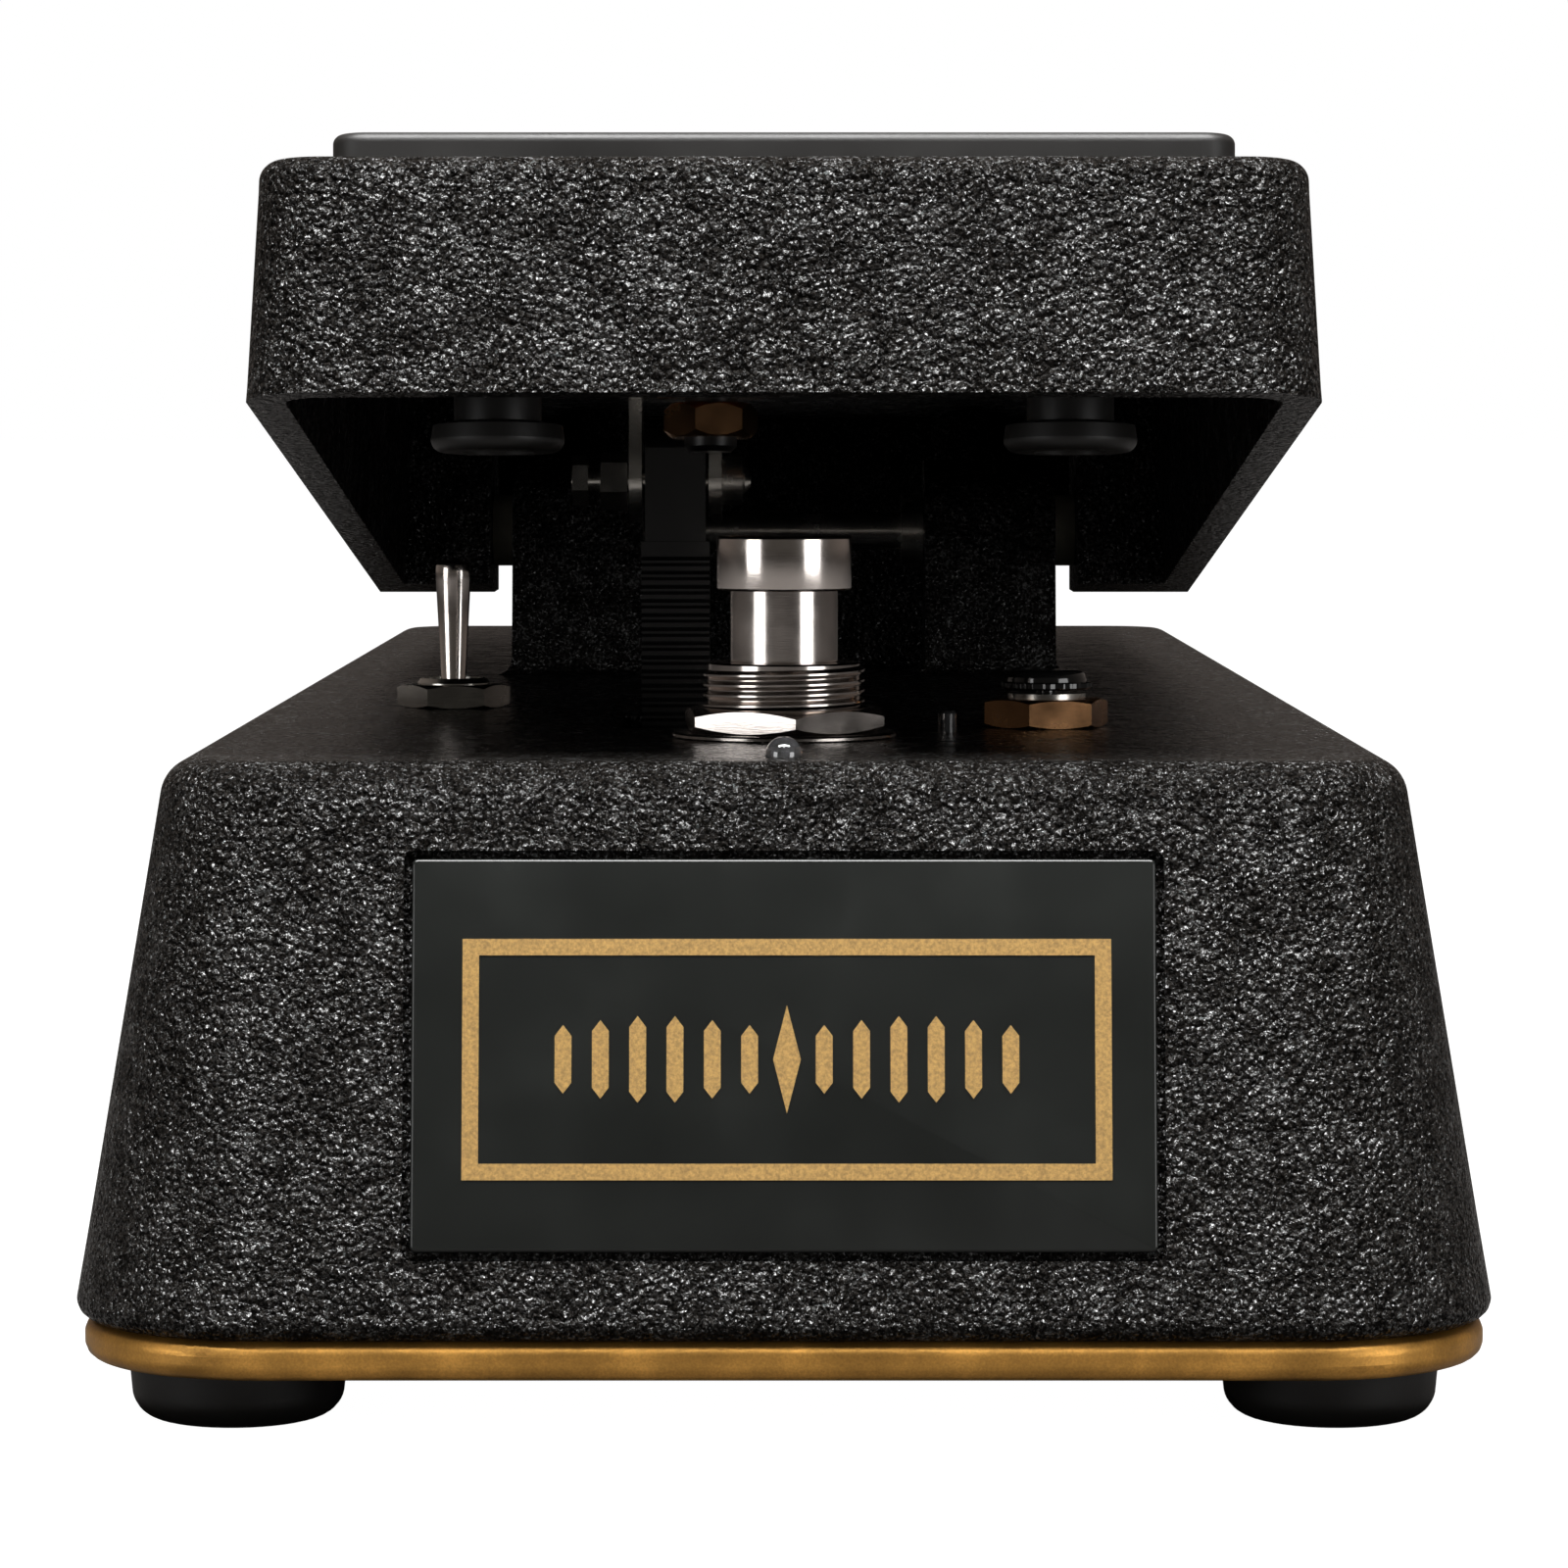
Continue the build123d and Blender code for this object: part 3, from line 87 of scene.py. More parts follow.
class WahFinishSettings(bpy.types.PropertyGroup):
    """Colours and scales of the pedal's finishes."""

    enamel_colour: FloatVectorProperty(
        name="Enamel", description="Colour of the hammered enamel on both castings",
        subtype="COLOR", size=3, default=(0.0045, 0.0039, 0.0034), min=0.0, max=1.0)
    dimple_size: FloatProperty(
        name="Dimple Size", description="Width of one dimple in the hammered enamel",
        unit="LENGTH", default=0.52 * MM, min=0.05 * MM, max=3.0 * MM)
    dimple_depth: FloatProperty(
        name="Dimple Depth", description="Height of the enamel's relief",
        unit="LENGTH", default=0.34 * MM, min=0.0, max=1.0 * MM)
    gold_colour: FloatVectorProperty(
        name="Gold Paint", description="Colour of the metallic paint on the bottom plate",
        subtype="COLOR", size=3, default=(0.40, 0.205, 0.045), min=0.0, max=1.0)
    nickel_colour: FloatVectorProperty(
        name="Nickel", description="Colour of the bright plating",
        subtype="COLOR", size=3, default=(0.70, 0.64, 0.60), min=0.0, max=1.0)
    rubber_colour: FloatVectorProperty(
        name="Rubber", description="Colour of the feet, bumpers and tread",
        subtype="COLOR", size=3, default=(0.005, 0.0045, 0.004), min=0.0, max=1.0)


class WahPieceSettings(bpy.types.PropertyGroup):
    """Sizes of the pieces that are modelled here."""

    turned_steps: IntProperty(
        name="Turned Steps", description="Faces round a turned piece", default=96, min=24, max=256)
    thread_pitch: FloatProperty(
        name="Thread Pitch", description="Pitch of the footswitch's fine thread",
        unit="LENGTH", default=0.75 * MM, min=0.2 * MM, max=2.0 * MM)
    frame_line: FloatProperty(
        name="Frame Line", description="Width of the printed frame's line",
        unit="LENGTH", default=1.13 * MM, min=0.2 * MM, max=4.0 * MM)
    treadle_lean: FloatProperty(
        name="Treadle Lean", description="Slope of the treadle with the heel down",
        subtype="ANGLE", default=math.radians(3.78), min=0.0, max=0.5)
    knob_flutes: IntProperty(
        name="Knob Flutes", description="Grip flutes round the trim knob", default=18, min=6, max=48)


class WahStageSettings(bpy.types.PropertyGroup):
    """Camera and light."""

    camera_distance: FloatProperty(
        name="Camera Distance", description="From the pedal's middle to the lens, along Y",
        unit="LENGTH", default=0.495, min=0.2, max=5.0)
    camera_height: FloatProperty(
        name="Camera Height", description="Height of the lens above the floor",
        unit="LENGTH", default=0.071, min=0.0, max=3.0)
    camera_pitch: FloatProperty(
        name="Camera Pitch", description="How far the camera looks down",
        subtype="ANGLE", default=math.radians(3.93), min=0.0, max=1.5)
    lens: FloatProperty(
        name="Lens", description="Focal length on a 36 mm wide sensor, in millimetres",
        default=125.4, min=20.0, max=300.0)
    softbox_power: FloatProperty(
        name="Softbox Power", description="Power of one front softbox",
        unit="POWER", default=9.0, min=0.0, max=500.0)


# ---- node material helpers ---------------------------------------------------------------------

class Finish:
    """A new node material with its shader, and short calls that add and join nodes."""

    def __init__(self, name):
        self.material = bpy.data.materials.new(name)
        self.material.use_nodes = True
        self.tree = self.material.node_tree
        self.shader = self.tree.nodes["Principled BSDF"]
        self.coords = self.tree.nodes.new("ShaderNodeTexCoord").outputs["Object"]

    def node(self, kind, **values):
        """A new node with properties and input values set by name."""
        made = self.tree.nodes.new(kind)
        for key, value in values.items():
            if hasattr(made, key):
                setattr(made, key, value)
            else:
                made.inputs[key.replace("_", " ")].default_value = value
        return made

    def join(self, output, socket):
        self.tree.links.new(output, socket)

    def noise(self, scale, detail=2.0, roughness=0.5, distortion=0.0, stretch=None):
        """Noise on object coordinates, in features per metre."""
        made = self.node("ShaderNodeTexNoise")
        made.inputs["Scale"].default_value = scale
        made.inputs["Detail"].default_value = detail
        made.inputs["Roughness"].default_value = roughness
        made.inputs["Distortion"].default_value = distortion
        source = self.coords
        if stretch:
            mapping = self.node("ShaderNodeMapping")
            mapping.inputs["Scale"].default_value = stretch
            self.join(self.coords, mapping.inputs["Vector"])
            source = mapping.outputs["Vector"]
        self.join(source, made.inputs["Vector"])
        return made.outputs["Fac"]

    def cells(self, scale, feature="F1", warp=None, warp_by=0.0):
        """Voronoi cells on object coordinates, warped by another output where given."""
        made = self.node("ShaderNodeTexVoronoi")
        made.feature = feature
        made.inputs["Scale"].default_value = scale
        if feature == "SMOOTH_F1":
            made.inputs["Smoothness"].default_value = 0.6
        source = self.coords
        if warp is not None:
            shift = self.node("ShaderNodeVectorMath", operation="MULTIPLY_ADD")
            self.join(warp, shift.inputs[0])
            shift.inputs[1].default_value = (warp_by, warp_by, warp_by)
            self.join(self.coords, shift.inputs[2])
            source = shift.outputs["Vector"]
        self.join(source, made.inputs["Vector"])
        return made.outputs["Distance"]

    def ramp(self, source, stops):
        """A colour ramp through (position, colour) stops; a plain number is a grey."""
        made = self.node("ShaderNodeValToRGB")
        elements = made.color_ramp.elements
        while len(elements) < len(stops):
            elements.new(0.5)
        for element, (position, colour) in zip(elements, stops):
            element.position = position
            element.color = (*colour, 1) if isinstance(colour, tuple) else (colour,) * 3 + (1,)
        self.join(source, made.inputs["Fac"])
        return made.outputs["Color"]

    def maths(self, operation, first, second):
        made = self.node("ShaderNodeMath", operation=operation)
        for socket, value in zip(made.inputs, (first, second)):
            if isinstance(value, (int, float)):
                socket.default_value = value
            else:
                self.join(value, socket)
        return made.outputs["Value"]

    def bump(self, height, distance, strength=1.0, before=None):
        """A bump from a height output, in metres; it may follow another bump."""
        made = self.node("ShaderNodeBump")
        made.inputs["Strength"].default_value = strength
        made.inputs["Distance"].default_value = distance
        self.join(height, made.inputs["Height"])
        if before is not None:
            self.join(before, made.inputs["Normal"])
        return made.outputs["Normal"]

    def set(self, **values):
        """Constant values on the shader's own sockets."""
        for key, value in values.items():
            socket = self.shader.inputs[key.replace("_", " ")]
            socket.default_value = (*value, 1) if isinstance(value, tuple) else value

    def drive(self, socket, output):
        self.join(output, self.shader.inputs[socket])


def tint(colour, factor):
    """A colour made lighter or darker."""
    return tuple(min(1.0, part * factor) for part in colour)


# ---- finishes ------------------------------------------------------------------------------------

def hammered_enamel(settings):
    """Black enamel dried into small domes: dark crevices, and facets that glint; light flecks and dark
    spots painted into its colour stand in for glints and crevice shade.
    """
    finish = Finish("hammered_enamel")
    size = settings.dimple_size
    drift = finish.node("ShaderNodeTexNoise")
    drift.inputs["Scale"].default_value = 0.9 / size
    drift.inputs["Detail"].default_value = 2.0
    finish.join(finish.coords, drift.inputs["Vector"])
    domes = finish.cells(1.0 / size, "F1", drift.outputs["Color"], size * 1.1)
    grain = finish.noise(2.1 / size, 2.0, 0.6, 0.3)
    patches = finish.noise(0.22 / size, 3.0, 0.6)
    height = finish.maths("SUBTRACT", finish.maths("MULTIPLY", grain, 0.5), domes)
    height = finish.maths("ADD", height, finish.maths("MULTIPLY", patches, 0.7))
    finish.drive("Normal", finish.bump(height, settings.dimple_depth))
    shine = finish.maths("ADD", finish.maths("MULTIPLY", grain, 0.78),
                         finish.maths("MULTIPLY", patches, 0.22))
    finish.drive("Specular IOR Level", finish.ramp(shine, [(0.46, 0.01), (0.54, 0.12), (0.63, 0.75)]))
    finish.drive("Roughness", finish.ramp(patches, [(0.35, 0.20), (0.65, 0.30)]))
    base = tuple(settings.enamel_colour)
    # Painted light: the colour's light flecks are mostly painted glints and its darkest spots painted
    # crevice shade, mixed with some random tone of the enamel's own.
    painted_speckle = finish.noise(1.6 / size, 2.0, 0.65, 0.5)
    mixed = finish.maths("ADD", finish.maths("MULTIPLY", painted_speckle, 0.85),
                         finish.maths("MULTIPLY", patches, 0.15))
    finish.drive("Base Color", finish.ramp(mixed, [
        (0.42, tint(base, 0.3)), (0.52, base), (0.60, tint(base, 2.0)), (0.70, (0.05, 0.054, 0.054))]))
    finish.set(IOR=1.5)
    return finish.material


def gold_paint(settings):
    """Satin metallic gold paint over steel, with fine flake and darker handling marks."""
    finish = Finish("gold_paint")
    gold = tuple(settings.gold_colour)
    patches = finish.noise(160.0, 4.0, 0.6)
    flake = finish.noise(5200.0, 2.0, 0.5)
    mixed = finish.maths("ADD", finish.maths("MULTIPLY", patches, 0.75),
                         finish.maths("MULTIPLY", flake, 0.25))
    finish.drive("Base Color", finish.ramp(mixed, [
        (0.36, tint(gold, 0.62)), (0.52, gold), (0.66, tint(gold, 1.5))]))
    finish.drive("Roughness", finish.ramp(patches, [(0.3, 0.34), (0.7, 0.46)]))
    finish.drive("Normal", finish.bump(flake, 0.02 * MM, 0.5))
    finish.set(Metallic=0.85)
    return finish.material


def gold_print(settings):
    """Screen-printed gold ink: grainy, slightly uneven, half metallic."""
    finish = Finish("gold_print")
    gold = (0.25, 0.152, 0.05)
    grain = finish.noise(4200.0, 3.0, 0.7)
    finish.drive("Base Color", finish.ramp(grain, [
        (0.34, tint(gold, 0.62)), (0.52, gold), (0.70, tint(gold, 1.35))]))
    finish.drive("Roughness", finish.ramp(grain, [(0.3, 0.50), (0.7, 0.34)]))
    finish.drive("Normal", finish.bump(grain, 0.02 * MM, 0.6))
    finish.set(Metallic=0.35)
    return finish.material


def plated_metal(name, colour, roughness, scratch_depth=0.004 * MM, metallic=1.0):
    """Plated metal with fine turning lines, faint clouding and small wear."""
    finish = Finish(name)
    clouds = finish.noise(260.0, 4.0, 0.6)
    lines = finish.noise(900.0, 2.0, 0.5, stretch=(1.0, 1.0, 14.0))
    finish.drive("Base Color", finish.ramp(clouds, [
        (0.30, tint(colour, 0.80)), (0.60, tuple(colour)), (0.85, tint(colour, 1.12))]))
    finish.drive("Roughness", finish.ramp(clouds, [
        (0.30, roughness * 0.75), (0.75, min(1.0, roughness * 1.5))]))
    finish.drive("Normal", finish.bump(lines, scratch_depth, 0.5))
    finish.set(Metallic=metallic)
    return finish.material


def moulded(name, colour, roughness, grain_size=0.25 * MM, grain_depth=0.012 * MM, ior=1.5):
    """Moulded plastic or rubber with a fine mould grain and a slightly dusty face."""
    finish = Finish(name)
    grain = finish.noise(1.0 / grain_size, 3.0, 0.6)
    clouds = finish.noise(90.0, 4.0, 0.6)
    finish.drive("Base Color", finish.ramp(clouds, [
        (0.30, tint(colour, 0.75)), (0.55, tuple(colour)), (0.80, tint(colour, 1.45))]))
    finish.drive("Roughness", finish.ramp(clouds, [
        (0.30, roughness * 0.85), (0.75, min(1.0, roughness * 1.2))]))
    finish.drive("Normal", finish.bump(grain, grain_depth, 0.6))
    finish.set(IOR=ior)
    return finish.material


def smoked_epoxy():
    """The clear, slightly smoky epoxy of an unlit lamp."""
    finish = Finish("smoked_epoxy")
    clouds = finish.noise(900.0, 2.0, 0.5)
    finish.drive("Base Color", finish.ramp(clouds, [
        (0.3, (0.03, 0.03, 0.03)), (0.7, (0.08, 0.08, 0.085))]))
    finish.drive("Roughness", finish.ramp(clouds, [(0.3, 0.05), (0.7, 0.10)]))
    finish.set(IOR=1.55, Transmission_Weight=0.35, Coat_Weight=1.0, Coat_Roughness=0.03)
    return finish.material


def make_finishes(settings):
    """Every finish of the pedal, by the name of the record's slot."""
    return {
        "hammertone": hammered_enamel(settings),
        "gold_paint": gold_paint(settings),
        "gold_print": gold_print(settings),
        "black_rubber": moulded("black_rubber", settings.rubber_colour, 0.48, 0.5 * MM, 0.02 * MM, 1.38),
        "badge_enamel": moulded("badge_enamel", (0.006, 0.0065, 0.006), 0.20, 0.35 * MM, 0.003 * MM, 1.36),
        "nickel": plated_metal("nickel_plate", settings.nickel_colour, 0.16),
        "steel": plated_metal("zinc_plated_steel", (0.56, 0.54, 0.50), 0.22, 0.01 * MM),
        "yellow_zinc": plated_metal("yellow_zinc_plate", (0.46, 0.24, 0.11), 0.22),
        "black_steel": plated_metal("black_oxide_steel", (0.05, 0.05, 0.05), 0.35),
        "black_nylon": moulded("black_nylon", (0.004, 0.004, 0.004), 0.20, 0.3 * MM, 0.004 * MM, 1.5),
        "gloss_black": moulded("polished_black", (0.008, 0.008, 0.008), 0.10, 0.6 * MM, 0.003 * MM),
        "white_nylon": moulded("natural_nylon", (0.62, 0.58, 0.48), 0.45),
        "light_lens": smoked_epoxy(),
        "board": moulded("solder_mask", (0.02, 0.12, 0.05), 0.30, 0.8 * MM, 0.01 * MM),
        "ferrite": moulded("potted_coil", (0.36, 0.09, 0.03), 0.25),
        "film_cap": moulded("dipped_film", (0.42, 0.24, 0.03), 0.22),
        "battery_case": plated_metal("battery_can", (0.09, 0.09, 0.10), 0.35),
        "foam": moulded("cell_foam", (0.05, 0.05, 0.05), 0.95, 0.8 * MM, 0.3 * MM),
    }


FINISHES = {}


def finish_named(slot):
    """A finish made by the finishes operator."""
    if slot not in FINISHES:
        raise RuntimeError(f"make the finishes first: {slot} is missing")
    return FINISHES[slot]


# ---- mesh helpers ---------------------------------------------------------------------------------

def new_mesh():
    """An empty bmesh in metres."""
    return bmesh.new()


def add_piece(bm, name, slot, body, smooth_angle=32.0):
    """Turn a bmesh into a finished piece that rides on a body."""
    bmesh.ops.remove_doubles(bm, verts=bm.verts, dist=1e-7)
    bmesh.ops.recalc_face_normals(bm, faces=bm.faces)
    for face in bm.faces:
        face.smooth = True
    limit = math.radians(smooth_angle)
    for edge in bm.edges:
        if len(edge.link_faces) == 2:
            edge.smooth = edge.calc_face_angle(0.0) < limit
    mesh = bpy.data.meshes.new(name)
    bm.to_mesh(mesh)
    bm.free()
    mesh.materials.append(finish_named(slot))
    piece = bpy.data.objects.new(name, mesh)
    bpy.context.scene.collection.objects.link(piece)
    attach(piece, body)
    return piece


def turned(bm, profile, centre, steps=96, closed=False):
    """Spin (radius, height) points, in millimetres, about a vertical axis through centre."""
    verts = [bm.verts.new(centre + Vector((r * MM, 0, z * MM))) for r, z in profile]
    edges = [bm.edges.new(pair) for pair in zip(verts, verts[1:])]
    if closed:
        edges.append(bm.edges.new((verts[-1], verts[0])))
    bmesh.ops.spin(bm, geom=verts + edges, cent=centre, axis=(0, 0, 1), dvec=(0, 0, 0),
                   angle=2 * math.pi, steps=steps, use_merge=True, use_duplicate=False)
    bmesh.ops.remove_doubles(bm, verts=bm.verts, dist=1e-7)


def rounded(radius, centre_r, centre_z, start, stop, steps=6):
    """Profile points on an arc, angles in degrees from +radius towards +height."""
    points = []
    for index in range(steps + 1):
        angle = math.radians(start + (stop - start) * index / steps)
        points.append((centre_r + radius * math.cos(angle), centre_z + radius * math.sin(angle)))
    return points


def hexagon_reach(angle, flats):
    """Distance from a hexagon's centre to its side, in a direction."""
    sector = (angle + math.pi / 6) % (math.pi / 3) - math.pi / 6
    return flats / 2 / math.cos(sector)


def hex_nut(bm, centre, flats, thickness, bore, turn, chamfer=0.45, steps=120):
    """A hexagon nut with cone-chamfered corners, standing on centre. Sizes in millimetres."""
    corner = flats / math.sqrt(3)
    face = flats / 2 * 0.97
    slope = chamfer / (corner - face)
    turned(bm, [(bore, 0.15), (bore + 0.15, 0), (face, 0), (corner, chamfer),
                (corner, thickness - chamfer), (face, thickness),
                (bore + 0.15, thickness), (bore, thickness - 0.15)], centre, steps, closed=True)
    for vert in bm.verts:
        offset = (vert.co - centre) / MM
        radius = math.hypot(offset.x, offset.y)
        angle = math.atan2(offset.y, offset.x) - turn
        reach = hexagon_reach(angle, flats)
        if radius > reach and radius > face:
            lower = offset.z < thickness / 2
            drop = slope * (reach - face)
            height = drop if lower else thickness - drop
            scale = reach / radius
            vert.co = centre + Vector((offset.x * scale, offset.y * scale, height)) * MM


# ---- operators: finishes and CAD nodes ----------------------------------------------------------

class WAH_OT_finishes(bpy.types.Operator):
    """Make every finish and give it to the CAD nodes that keep their own shape"""

    bl_idname = "wah.finishes"
    bl_label = "Finishes"

    def execute(self, context):
        FINISHES.update(make_finishes(context.scene.wah_finish))
        for entry in frame["record"]["subparts"]:
            node = NODES[entry["node"]]
            finish = finish_named(entry["material_slot"])
            if not node.data.materials:
                node.data.materials.append(finish)
            for slot in node.material_slots:
                slot.material = finish
        return {"FINISHED"}


# ---- operators: pieces -------------------------------------------------------------------------

class WAH_OT_footswitch(bpy.types.Operator):
    """Turn the footswitch's button, threaded bushing, nut and washer"""

    bl_idname = "wah.footswitch"
    bl_label = "Footswitch"

    def execute(self, context):
        steps = context.scene.wah_piece.turned_steps
        pitch = context.scene.wah_piece.thread_pitch / MM
        low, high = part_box("footswitch_button")
        cap_top = (high.z - SWITCH.z) / MM
        bottom = (low.z - SWITCH.z) / MM
        cap_bottom = cap_top - 4.1
        bm = new_mesh()
        turned(bm, [(0, bottom), (3.9, bottom), (4.0, bottom + 0.1), (4.0, cap_bottom)]
               + rounded(0.22, 4.78, cap_bottom + 0.22, -90, 0, 4)
               + rounded(0.28, 4.72, cap_top - 0.3, 0, 80, 5)
               + [(3.4, cap_top - 0.01), (0, cap_top)], SWITCH, steps)
        button = add_piece(bm, "footswitch_plunger", "nickel", "footswitch_button", 40)
        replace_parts(button, "footswitch_button")
        self.bushing(steps, pitch)
        low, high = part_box("footswitch_nut")
        bm = new_mesh()
        hex_nut(bm, Vector((SWITCH.x, SWITCH.y, low.z)), 14.0, (high.z - low.z) / MM, 6.02,
                math.radians(6), 0.55)
        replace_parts(add_piece(bm, "footswitch_hex_nut", "nickel", "base", 25), "footswitch_nut")
        bm = new_mesh()
        turned(bm, [(6.02, 0.0), (8.15, 0.0), (8.3, 0.12), (8.3, 0.3), (8.15, 0.44), (6.02, 0.44)],
               SWITCH, steps, closed=True)
        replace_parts(add_piece(bm, "footswitch_ring", "nickel", "base", 25), "footswitch_washer")
        return {"FINISHED"}

    def bushing(self, steps, pitch):
        """The housing under the deck, its solder lugs and the bushing with a helical thread."""
        low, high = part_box("footswitch_body")
        top = (high.z - SWITCH.z) / MM
        under = -3.0
        bm = new_mesh()
        made = bmesh.ops.create_cube(bm, size=1.0)
        bmesh.ops.scale(bm, vec=(17 * MM, 17.5 * MM, 17 * MM), verts=made["verts"])
        bmesh.ops.translate(bm, vec=SWITCH + Vector((0, 0, (under - 8.5) * MM)), verts=made["verts"])
        bmesh.ops.bevel(bm, geom=bm.edges[:], offset=0.7 * MM, segments=3, profile=0.5,
                        affect="EDGES", material=-1)
        housing = add_piece(bm, "footswitch_housing", "gloss_black", "base")
        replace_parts(housing, "footswitch_body")
        bm = new_mesh()
        for column in (-4.8, 0, 4.8):
            for row in (-4.8, 0, 4.8):
                made = bmesh.ops.create_cube(bm, size=1.0)
                bmesh.ops.scale(bm, vec=(2.2 * MM, 0.8 * MM, 4.2 * MM), verts=made["verts"])
                bmesh.ops.translate(bm, vec=SWITCH + Vector((column, row, under - 19.1)) * MM,
                                    verts=made["verts"])
        bmesh.ops.bevel(bm, geom=bm.edges[:], offset=0.25 * MM, segments=2, profile=0.5,
                        affect="EDGES", material=-1)
        add_piece(bm, "footswitch_lugs", "steel", "base")
        bm = new_mesh()
        root = 5.62
        turned(bm, [(4.1, under - 0.1), (root, under - 0.1), (root, top - 0.15), (root - 0.15, top),
                    (4.35, top), (4.1, top - 0.2)], SWITCH, steps, closed=True)
        start = 2.0
        verts = [bm.verts.new(SWITCH + Vector((r, 0, start + z)) * MM)
                 for r, z in ((root - 0.02, -0.36), (6.0, -0.07), (6.0, 0.07), (root - 0.02, 0.36))]
        edges = [bm.edges.new(pair) for pair in zip(verts, verts[1:])]
        turns = (top - 0.45 - start) / pitch
        count = int(steps * turns)
        bmesh.ops.spin(bm, geom=verts + edges, cent=SWITCH, axis=(0, 0, 1),
                       dvec=(0, 0, turns * pitch * MM / count), angle=2 * math.pi * turns,
                       steps=count, use_merge=False, use_duplicate=False)
        add_piece(bm, "footswitch_bushing", "nickel", "base", 35)


class WAH_OT_toggle(bpy.types.Operator):
    """Turn the toggle's lever, bushing and nut"""

    bl_idname = "wah.toggle"
    bl_label = "Toggle Switch"

    def execute(self, context):
        steps = context.scene.wah_piece.turned_steps
        low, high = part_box("toggle_lever")
        top = (high.z - TOGGLE.z) / MM
        bottom = (low.z - TOGGLE.z) / MM
        bm = new_mesh()
        turned(bm, [(0, bottom), (0.9, bottom), (1.8, bottom + 1.4), (1.86, bottom + 2.2),
                    (0.98, bottom + 4.6), (1.42, top - 1.6), (1.44, top - 0.9)]
               + rounded(0.5, 0.92, top - 0.5, 20, 80, 5) + [(0, top)], TOGGLE, 64)
        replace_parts(add_piece(bm, "toggle_bat", "nickel", "toggle_lever", 50), "toggle_lever")
        low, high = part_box("toggle_nut")
        bm = new_mesh()
        hex_nut(bm, TOGGLE, 8.0, (high.z - low.z) / MM, 2.95, math.radians(35.7), 0.3)
        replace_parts(add_piece(bm, "toggle_hex_nut", "steel", "base", 25), "toggle_nut")
        bm = new_mesh()
        turned(bm, [(2.3, -3.0), (2.95, -3.0), (2.95, 2.0), (2.7, 2.35), (2.3, 2.4)],
               TOGGLE, steps, closed=True)
        add_piece(bm, "toggle_bushing", "steel", "base", 35)
        return {"FINISHED"}


class WAH_OT_lights(bpy.types.Operator):
    """Cast the status light's epoxy dome"""

    bl_idname = "wah.lights"
    bl_label = "Lights"

    def execute(self, context):
        low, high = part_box("status_light")
        centre = Vector((LIGHT.x, LIGHT.y, DECK))
        bottom = (low.z - DECK) / MM
        top = (high.z - DECK) / MM
        bm = new_mesh()
        turned(bm, [(0, bottom), (1.8, bottom), (1.8, -3.1), (1.3, -3.0), (1.3, top - 1.3)]
               + rounded(1.3, 0, top - 1.3, 8, 90, 10), centre, 48)
        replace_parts(add_piece(bm, "status_lens", "light_lens", "base", 60), "status_light")
        return {"FINISHED"}


class WAH_OT_trim(bpy.types.Operator):
    """Make the trim control's fluted knob and plated nut"""

    bl_idname = "wah.trim"
    bl_label = "Trim Control"

    def execute(self, context):
        flutes = context.scene.wah_piece.knob_flutes
        low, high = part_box("trim_nut")
        bm = new_mesh()
        hex_nut(bm, TRIM, 8.45, (high.z - low.z) / MM, 3.02, math.radians(42), 0.3)
        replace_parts(add_piece(bm, "trim_hex_nut", "yellow_zinc", "base", 25), "trim_nut")
        low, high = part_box("trim_knob")
        top = (high.z - TRIM.z) / MM
        bottom = (low.z - TRIM.z) / MM
        bm = new_mesh()
        turned(bm, [(0, bottom), (0.8, bottom), (0.8, 2.9), (3.2, 2.9), (3.5, 3.05), (3.5, 3.4),
                    (3.1, 3.5), (3.05, 3.8)]
               + rounded(0.6, 2.4, top - 0.62, 0, 80, 5) + [(0, top - 0.05)], TRIM, flutes * 6)
        for vert in bm.verts:
            offset = (vert.co - TRIM) / MM
            radius = math.hypot(offset.x, offset.y)
            if radius > 3.2:
                angle = math.atan2(offset.y, offset.x)
                scale = 1 - 0.05 * (0.5 + 0.5 * math.cos(flutes * angle))
                vert.co.x = TRIM.x + offset.x * scale * MM
                vert.co.y = TRIM.y + offset.y * scale * MM
        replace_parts(add_piece(bm, "trim_cap", "gloss_black", "trim_knob", 40), "trim_knob")
        return {"FINISHED"}


class WAH_OT_treadle_nut(bpy.types.Operator):
    """Make the flanged nut that holds the rack's bracket under the treadle"""

    bl_idname = "wah.treadle_nut"
    bl_label = "Treadle Nut"

    def execute(self, context):
        centre = middle("bracket_nut")
        bm = new_mesh()
        hex_nut(bm, centre - Vector((0, 0, 1.5 * MM)), 6.3, 2.6, 2.02, math.radians(42), 0.55)
        bmesh.ops.rotate(bm, cent=centre, verts=bm.verts,
                         matrix=Matrix.Rotation(-context.scene.wah_piece.treadle_lean, 3, "X"))
        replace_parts(add_piece(bm, "bracket_hex_nut", "yellow_zinc", "treadle", 25), "bracket_nut")
        return {"FINISHED"}


